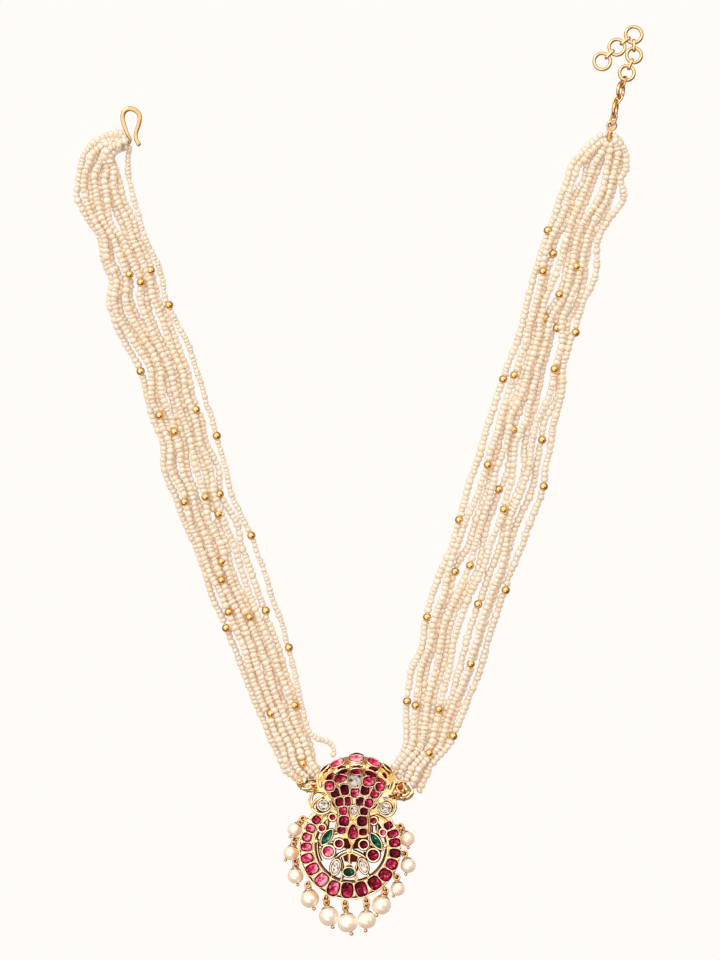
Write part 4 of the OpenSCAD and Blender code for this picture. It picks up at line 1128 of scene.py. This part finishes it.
# Radius of the crest, half angle of a bow and how far its ends lie out, slant and reach of a tooth
CREST_R = 13.25
BOW_HALF, BOW_OUT = 10.5, 0.85
TOOTH_SLANT, TOOTH_REACH = 1.5, 1.6
crest = Build()
along = np.linspace(-1, 1, 15)
for angle in OUTER_STONES:
    run = [on_hood(angle + BOW_HALF * t, CREST_R + BOW_OUT * t * t, 0.1) for t in along]
    crest.tube(run, 0.52 - 0.3 * along**2, 10)
for angle in TEETH:
    run = [on_hood(angle + TOOTH_SLANT * t, CREST_R - 0.05 - TOOTH_REACH * t, 0.1) for t in along]
    crest.tube(run, 0.5 - 0.36 * np.abs(along - 0.1), 10)
crest.object("arch_crest", highlight_gold_mat)

# Shoulders of the arch, scrolls beside it and the tip of the fan: (points, radius in mm, height in mm)
SCROLLS = [
    ([(324.5, 770.5), (320.5, 777), (321, 787.5)], 0.95, 7.1),
    ([(328, 773), (325.8, 779), (325.5, 787)], 0.5, 7.2),
    ([(388, 771.5), (391.5, 778), (389.5, 789.5)], 0.95, 7.0),
    ([(385.5, 773), (388, 779), (387, 787)], 0.45, 7.1),
    ([(327, 790), (319, 789.8), (312, 793.5), (309.3, 800), (310.6, 806)], 0.34, 3.75),
    ([(311, 805), (314, 810.8), (320, 813.8), (327, 812.6), (332, 808)], 0.5, 3.7),
    ([(331.5, 799.5), (330.5, 804), (331.5, 808.5), (338, 811.5)], 0.26, 3.9),
    ([(377.5, 799.5), (378.6, 806), (377.8, 811), (371, 812.5)], 0.3, 3.9),
    ([(379.5, 813.5), (386, 816.2), (392.5, 814), (395.6, 808), (395, 801), (390.5, 797)], 0.46, 3.7),
    ([(309, 823), (314, 817), (321, 813.8), (330, 811.5), (338, 810.3)], 0.28, 2.75),
    ([(391.5, 824), (387.5, 818), (381, 814.4), (371, 811.5)], 0.28, 2.75),
    ([(347.4, 834.6), (349.4, 840.4), (351.4, 845.6)], 0.28, 3.8),
    ([(357, 834.6), (354.8, 840.4), (352.4, 845.6)], 0.28, 3.8),
    ([(351.8, 843.6), (351.4, 847), (350.4, 851)], 0.34, 3.5),
    ([(348.8, 824), (346.8, 829), (347.6, 835.6)], 0.26, 4.2),
    ([(356.4, 824), (358.6, 829), (357.2, 835.6)], 0.26, 4.2),
]
CURLS = [
    ([(329.5, 789), (324.5, 795), (318.5, 799), (313.8, 803.5), (312.2, 808)], 0.62, 4.1),
    ([(381, 797.5), (387, 799.5), (392, 803), (394.4, 808)], 0.42, 4.1),
    ([(372, 813.6), (379, 816.4), (385, 820), (389.5, 826)], 0.4, 2.7),
    ([(331, 813.2), (324, 816.4), (317.5, 821)], 0.36, 2.7),
]
# Curves of painted shade on the arch, beside the scrolls and in the openwork: (points, radius in mm, height
# in mm)
SHADE_CURVES = [
    ([(337.4, 768.6), (341, 767.4), (345.8, 767)], 0.52, 11.2),
    ([(368.8, 767.4), (373, 768.4), (378, 770)], 0.56, 11.1),
    ([(383, 772.6), (385.2, 775.4), (386.2, 778.4)], 0.48, 10.8),
    ([(327.4, 768.4), (326, 772.4)], 0.36, 11.0), ([(350, 766.4), (357, 766.8), (363, 766.2)], 0.2, 11.3),
    ([(349.4, 755.8), (356.5, 753.8), (363.8, 755.6)], 0.4, 6.6),
    ([(322.4, 819), (317.8, 826), (315.8, 836)], 0.22, 2.65),
    ([(323, 829), (326.4, 819), (332, 813.4), (339, 810.6)], 0.2, 2.6),
    ([(375.8, 824), (376, 831.5)], 0.2, 2.6), ([(384.4, 819.6), (386.6, 826), (387.2, 833)], 0.2, 2.7),
    ([(325, 793), (318, 792.4), (313.4, 795.6), (312.2, 801)], 0.17, 3.7),
    ([(315.8, 806), (318, 810.4), (323.5, 811.8), (329, 809)], 0.2, 3.7),
    ([(332.4, 799.5), (332.8, 804.5), (336.5, 808.6)], 0.22, 3.8),
    ([(376.4, 800), (376, 806), (372.4, 809.4)], 0.22, 3.8),
    ([(383, 798.6), (389.4, 801.2), (392.8, 806.4), (391.4, 811.4)], 0.2, 3.75),
    ([(312, 822.6), (318, 816.6), (326, 813.4)], 0.2, 2.7),
    ([(389, 822.4), (383, 817), (375, 813.6)], 0.2, 2.7),
    ([(323.4, 771), (323.6, 779), (323.8, 787)], 0.16, 7.75),
    ([(386, 771.5), (390.2, 779), (387.8, 789)], 0.18, 7.6),
]
scroll_leaves, scroll_curls = Build(), Build()
for build, table in ((scroll_leaves, SCROLLS), (scroll_curls, CURLS), (painted_shade_lines, SHADE_CURVES)):
    for points, radius, z in table:
        run = smooth_path([seen(place(x, y, z)) for x, y in points], 8)
        build.tube(run, radius * taper(len(run), 0.35, 0.5), 10)
scroll_curls.object("scroll_curls", cap_mat)

# Gold beads under the shield stone, wire over the lowest emerald, and balls: (x, y, height, radius in mm)
for a in np.radians(np.linspace(200, 340, 8)):
    scroll_leaves.ball(seen(place(355.3 + 7.6 * math.cos(a), 779.6 - 7.4 * math.sin(a), 8.0)), 0.27)
OVER_EMERALD = [
    (341.5, 880), (342.6, 872), (345.4, 866), (349.4, 863), (353.4, 866), (356.2, 872), (357.8, 880)]
scroll_leaves.tube(smooth_path([place(x, y, 2.75) for x, y in OVER_EMERALD], 6), 0.24, 8)
SMALL_BALLS = [
    (316.5, 840.5, 2.7, 0.8), (385.5, 845, 2.7, 0.85), (333.2, 829.5, 2.6, 0.5), (320.5, 846.5, 2.6, 0.5),
    (371, 834, 2.6, 0.5), (382.5, 849, 2.6, 0.5), (350, 850.5, 2.5, 0.6)]
for x, y, z, r in SMALL_BALLS:
    scroll_leaves.ball(place(x, y, z), r)
scroll_leaves.object("scroll_leaves", highlight_gold_mat)


# Pearl drops with their caps, loops and pin ends

# Direction of each eye from the middle of the band, place of the pin end, and size over the CAD pearl's
DROPS = [
    ((304.5, 818), (290, 836.5), 1.1), ((299.5, 839), (285, 860), 1.06), ((296.5, 860), (298, 884.3), 1.05),
    ((308, 883), (314.3, 908), 1.03), ((326, 897), (332.6, 925.3), 1.05), ((345, 902), (351.3, 932), 1.02),
    ((366.5, 900), (365.6, 929.5), 1.03), ((385.5, 889), (376.4, 914), 1.03),
    ((397.5, 876), (392.8, 896), 1.05), ((403.5, 852), (406, 872.5), 1.12),
    ((399, 825), (408, 846.5), 1.12),
]
# Soldered eye: its distance from the rim and its height. Loop: its distance from the eye, and its radius
EYE_OUT, EYE_HEIGHT = 0.75, 1.4
LOOP_OUT, LOOP_R = 0.8, 0.76
# How far down the pearl the cap reaches, and the distance between the rings above it
CAP_ANGLE = math.radians(38)
RING_PITCH, RING_R = 0.55, 0.96
drop_rng = np.random.default_rng(31)


def eye_and_loop(direction, pearl_centre):
    """Middles of the soldered eye outside the rim and of the loop that hangs in it."""
    out = unit(place(*direction) - BAND_MID)
    eye_at = BAND_MID + (BAND_R + EYE_OUT) * out
    towards = unit((pearl_centre - eye_at) * (1, 1, 0))
    half_way = unit(out + towards)
    eye_at = eye_at + (0, 0, EYE_HEIGHT)
    return eye_at, eye_at + LOOP_OUT * half_way


def drop_pearl(i, centre, r, axis):
    """A pearl that is a little uneven and dimpled at its drill holes, with a painted gold reflection on its
    side towards the band.
    """
    phase = drop_rng.uniform(0, 6, 3)
    wave = (1 + 0.01 * np.sin(4.2 * PEARL[:, 1] + phase[0]) + 0.008 * np.sin(5.4 * PEARL[:, 2] + phase[1])
            + 0.006 * np.sin(5 * PEARL[:, 0] + phase[2]) - 0.03 * np.abs(PEARL[:, 0]) ** 24)
    pearl = Build()
    shape = r * (PEARL * wave[:, None]) @ turn_to(axis).T
    inward = (BAND_MID - centre) * (1, 1, 0)
    clear = max(0.0, np.linalg.norm(inward) - BAND_R - r)
    # Painted reflection of the band's gold: the pearl's side towards the band takes the warm tone, less on
    # pearls that hang clear of it
    painted_gold_reflection = np.clip((shape @ unit(inward) / r - 0.15 - 0.26 * clear) / 0.35, 0, 1)
    pearl.add(centre + shape, PEARL_FACES, drop_rng.uniform(0.75, 0.95) - 0.75 * painted_gold_reflection)
    pearl.object(f"drop_{i}", drop_mat, "drop_pearl", replaces=[f"drop_pearl_{i}"])


def drop_cap(centre, r, up, reach):
    """Flared cap on the pearl with a line of painted shade round it, and rings from its tip to the eye with
    painted shade between them.
    """
    neck = r + min(1.5, max(0.35, reach - 0.9))
    heights = np.array([math.cos(CAP_ANGLE) * r, math.cos(CAP_ANGLE * 0.55) * (r + 0.1), r + 0.3, neck])
    widths = np.array([math.sin(CAP_ANGLE) * (r + 0.1), math.sin(CAP_ANGLE * 0.55) * (r + 0.3), 0.82, 0.7])
    caps.tube(centre + heights[:, None] * up, widths, 28)
    for k, a in enumerate((CAP_ANGLE, CAP_ANGLE * 0.72)):
        rim_at = centre + (r + 0.1) * math.cos(a) * up
        (caps if k else painted_shade_lines).hoop(rim_at, (r + 0.12) * math.sin(a), up, 28, 0.14 if k else 0.09, 6)
    side = unit(np.cross(up, (0.0, 0.0, 1.0)))
    for k in range(int(max(0.0, r + reach - neck) / RING_PITCH)):
        at = centre + (neck + 0.35 + RING_PITCH * k) * up
        tilt = unit((0, 0, 1) + (0.5 if k % 2 else -0.5) * up + 0.3 * side)
        fittings.hoop(at, RING_R, tilt, 24, 0.25, 8)
        # A dark ball in each ring paints the shade between the rings
        painted_shade_lines.ball(at - (0, 0, 0.1), 0.5)


fittings, caps = Build(), Build()
for i, (direction, end, grow) in enumerate(DROPS):
    low, high = (np.array(corner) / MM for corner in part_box(f"drop_pearl_{i}"))
    centre, r = (low + high) / 2, grow * float((high - low).min()) / 2
    centre[2] = max(centre[2], r)
    eye_at, loop_at = eye_and_loop(direction, centre)
    up = unit(loop_at - centre)
    down = unit(place(*end, centre[2]) - centre)
    drop_pearl(i, centre, r, unit(up - down))
    drop_cap(centre, r, up, np.linalg.norm(loop_at - centre) - r - LOOP_R)
    level = unit(np.cross(up, np.cross((0.0, 0.0, 1.0), up)))
    for shift in (-0.26, 0.26):
        fittings.hoop(loop_at + shift * level, LOOP_R + 0.16, level, 28, 0.28, 8)
    # Dark balls paint the shade in the loop and the eye, and a dark hoop the shade round the pin end
    painted_shade_lines.ball(loop_at, 0.6)
    painted_shade_lines.ball(eye_at, 0.5)
    pin_r = 0.18 * r + 0.1
    pin_end = centre + (r + pin_r - 0.05) * down
    fittings.add(pin_end + pin_r * ROUND @ turn_to(down).T, ROUND_FACES)
    painted_shade_lines.hoop(pin_end - 0.8 * pin_r * down, 0.3, down, 16, 0.1, 6)
fittings.object("drop_rings", cap_mat, replaces=["drop_fittings"])
caps.object("drop_caps", highlight_gold_mat)
painted_shade_lines.object("painted_shade_lines", painted_shade_mat)

# CAD nodes that are shown as they are
kept_nodes = {"pendant_frame": frame_mat, "small_ring": wire_mat}
kept_nodes.update({f"chain_ring_{i}": wire_mat for i in range(7)})
for name, mat in kept_nodes.items():
    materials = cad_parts[name].data.materials
    materials.clear()
    materials.append(mat)


# Floor, light and camera

FLOOR_GAP = 0.00002
floor_mesh = bpy.data.meshes.new("floor")
floor_mesh.from_pydata([(-2, -2, 0), (2, -2, 0), (2, 2, 0), (-2, 2, 0)], [], [(0, 1, 2, 3)])
floor = link("floor", floor_mesh)
floor.location.z = float(cad_box[0][2]) - FLOOR_GAP
paper, f = new_material("paper")
f.set(Base_Color=f.mix(f.noise(60.0), (0.78, 0.74, 0.69), (0.8, 0.76, 0.71)), Roughness=0.9)
f.set(Specular_IOR_Level=0.0)
glow = f.add("Emission", {"Color": (1.0, 0.969, 0.935, 1.0), "Strength": 1.015}).outputs[0]
rays = f.add("LightPath").outputs
dim = f.add("BsdfDiffuse", {"Color": (0.3, 0.2, 0.13, 1.0)}).outputs[0]
shown = f.shader.outputs[0]
for ray, share, other in (("Is Glossy Ray", 0.8, dim), ("Is Camera Ray", 0.96, glow)):
    shown = f.add("MixShader", {0: f.math("MULTIPLY", rays[ray], share), 1: shown, 2: other}).outputs[0]
f.put(f.tree.nodes["Material Output"], "Surface", shown)
floor_mesh.materials.append(paper)

world = bpy.data.worlds.new("studio")
world.use_nodes = True
bpy.context.scene.world = world
w = Nodes(world.node_tree)
sky = w.tree.nodes["Background"]
# The room that the gold reflects: a small dark spot one way, brightest the other way
DARK_WAY = (0.44, -0.32, 0.839)
BRIGHT_WAY = (-0.16, 0.32, 0.934)
way = w.add("TexCoord").outputs["Generated"]
to_dark, to_bright = (w.add("VectorMath", {0: way, 1: other}, operation="DOT_PRODUCT").outputs["Value"]
                      for other in (DARK_WAY, BRIGHT_WAY))


def smooth_span(value, low, high):
    links = {0: value, 1: low, 2: high}
    return w.add("MapRange", links, interpolation_type="SMOOTHSTEP").outputs[0]


dark_spot = smooth_span(to_dark, math.cos(math.radians(27)), math.cos(math.radians(12)))
level = w.math("MULTIPLY", smooth_span(to_bright, 0.1, 0.66), w.math("SUBTRACT", 1.0, dark_spot))
w.put(sky, "Color", w.ramp(level, [
    (0.0, (0.12, 0.045, 0.018)), (0.25, (0.38, 0.16, 0.075)), (0.5, (0.66, 0.4, 0.28)),
    (0.75, (0.9, 0.74, 0.63)), (1.0, (1.0, 0.982, 0.955))]))
in_gloss = w.math("MULTIPLY", w.add("LightPath").outputs["Is Glossy Ray"], 0.3)
w.put(sky, "Strength", w.math("ADD", 1.15, in_gloss))


def lamp_at(name, at, size, power):
    light = bpy.data.lights.new(name, "AREA")
    light.size = size
    light.energy = power
    light.color = (1.0, 0.97, 0.93)
    lamp = link(name, light)
    lamp.location = at
    lamp.rotation_euler = (-Vector(at)).to_track_quat("-Z", "Y").to_euler()
    return lamp


lamp_at("key", (-0.55, 0.75, 0.95), 0.45, 3.4)
lamp_at("fill", (0.8, 0.1, 0.8), 0.5, 1.3).visible_glossy = False

camera = bpy.data.cameras.new("camera")
camera.lens = 135
camera.sensor_width = 36
camera.clip_start = 0.05
camera.clip_end = 10
eye = link("camera", camera)
eye.location = (0.0001, -0.00017, CAMERA_HEIGHT * MM)
bpy.context.scene.camera = eye
bpy.context.scene.view_settings.view_transform = "Standard"
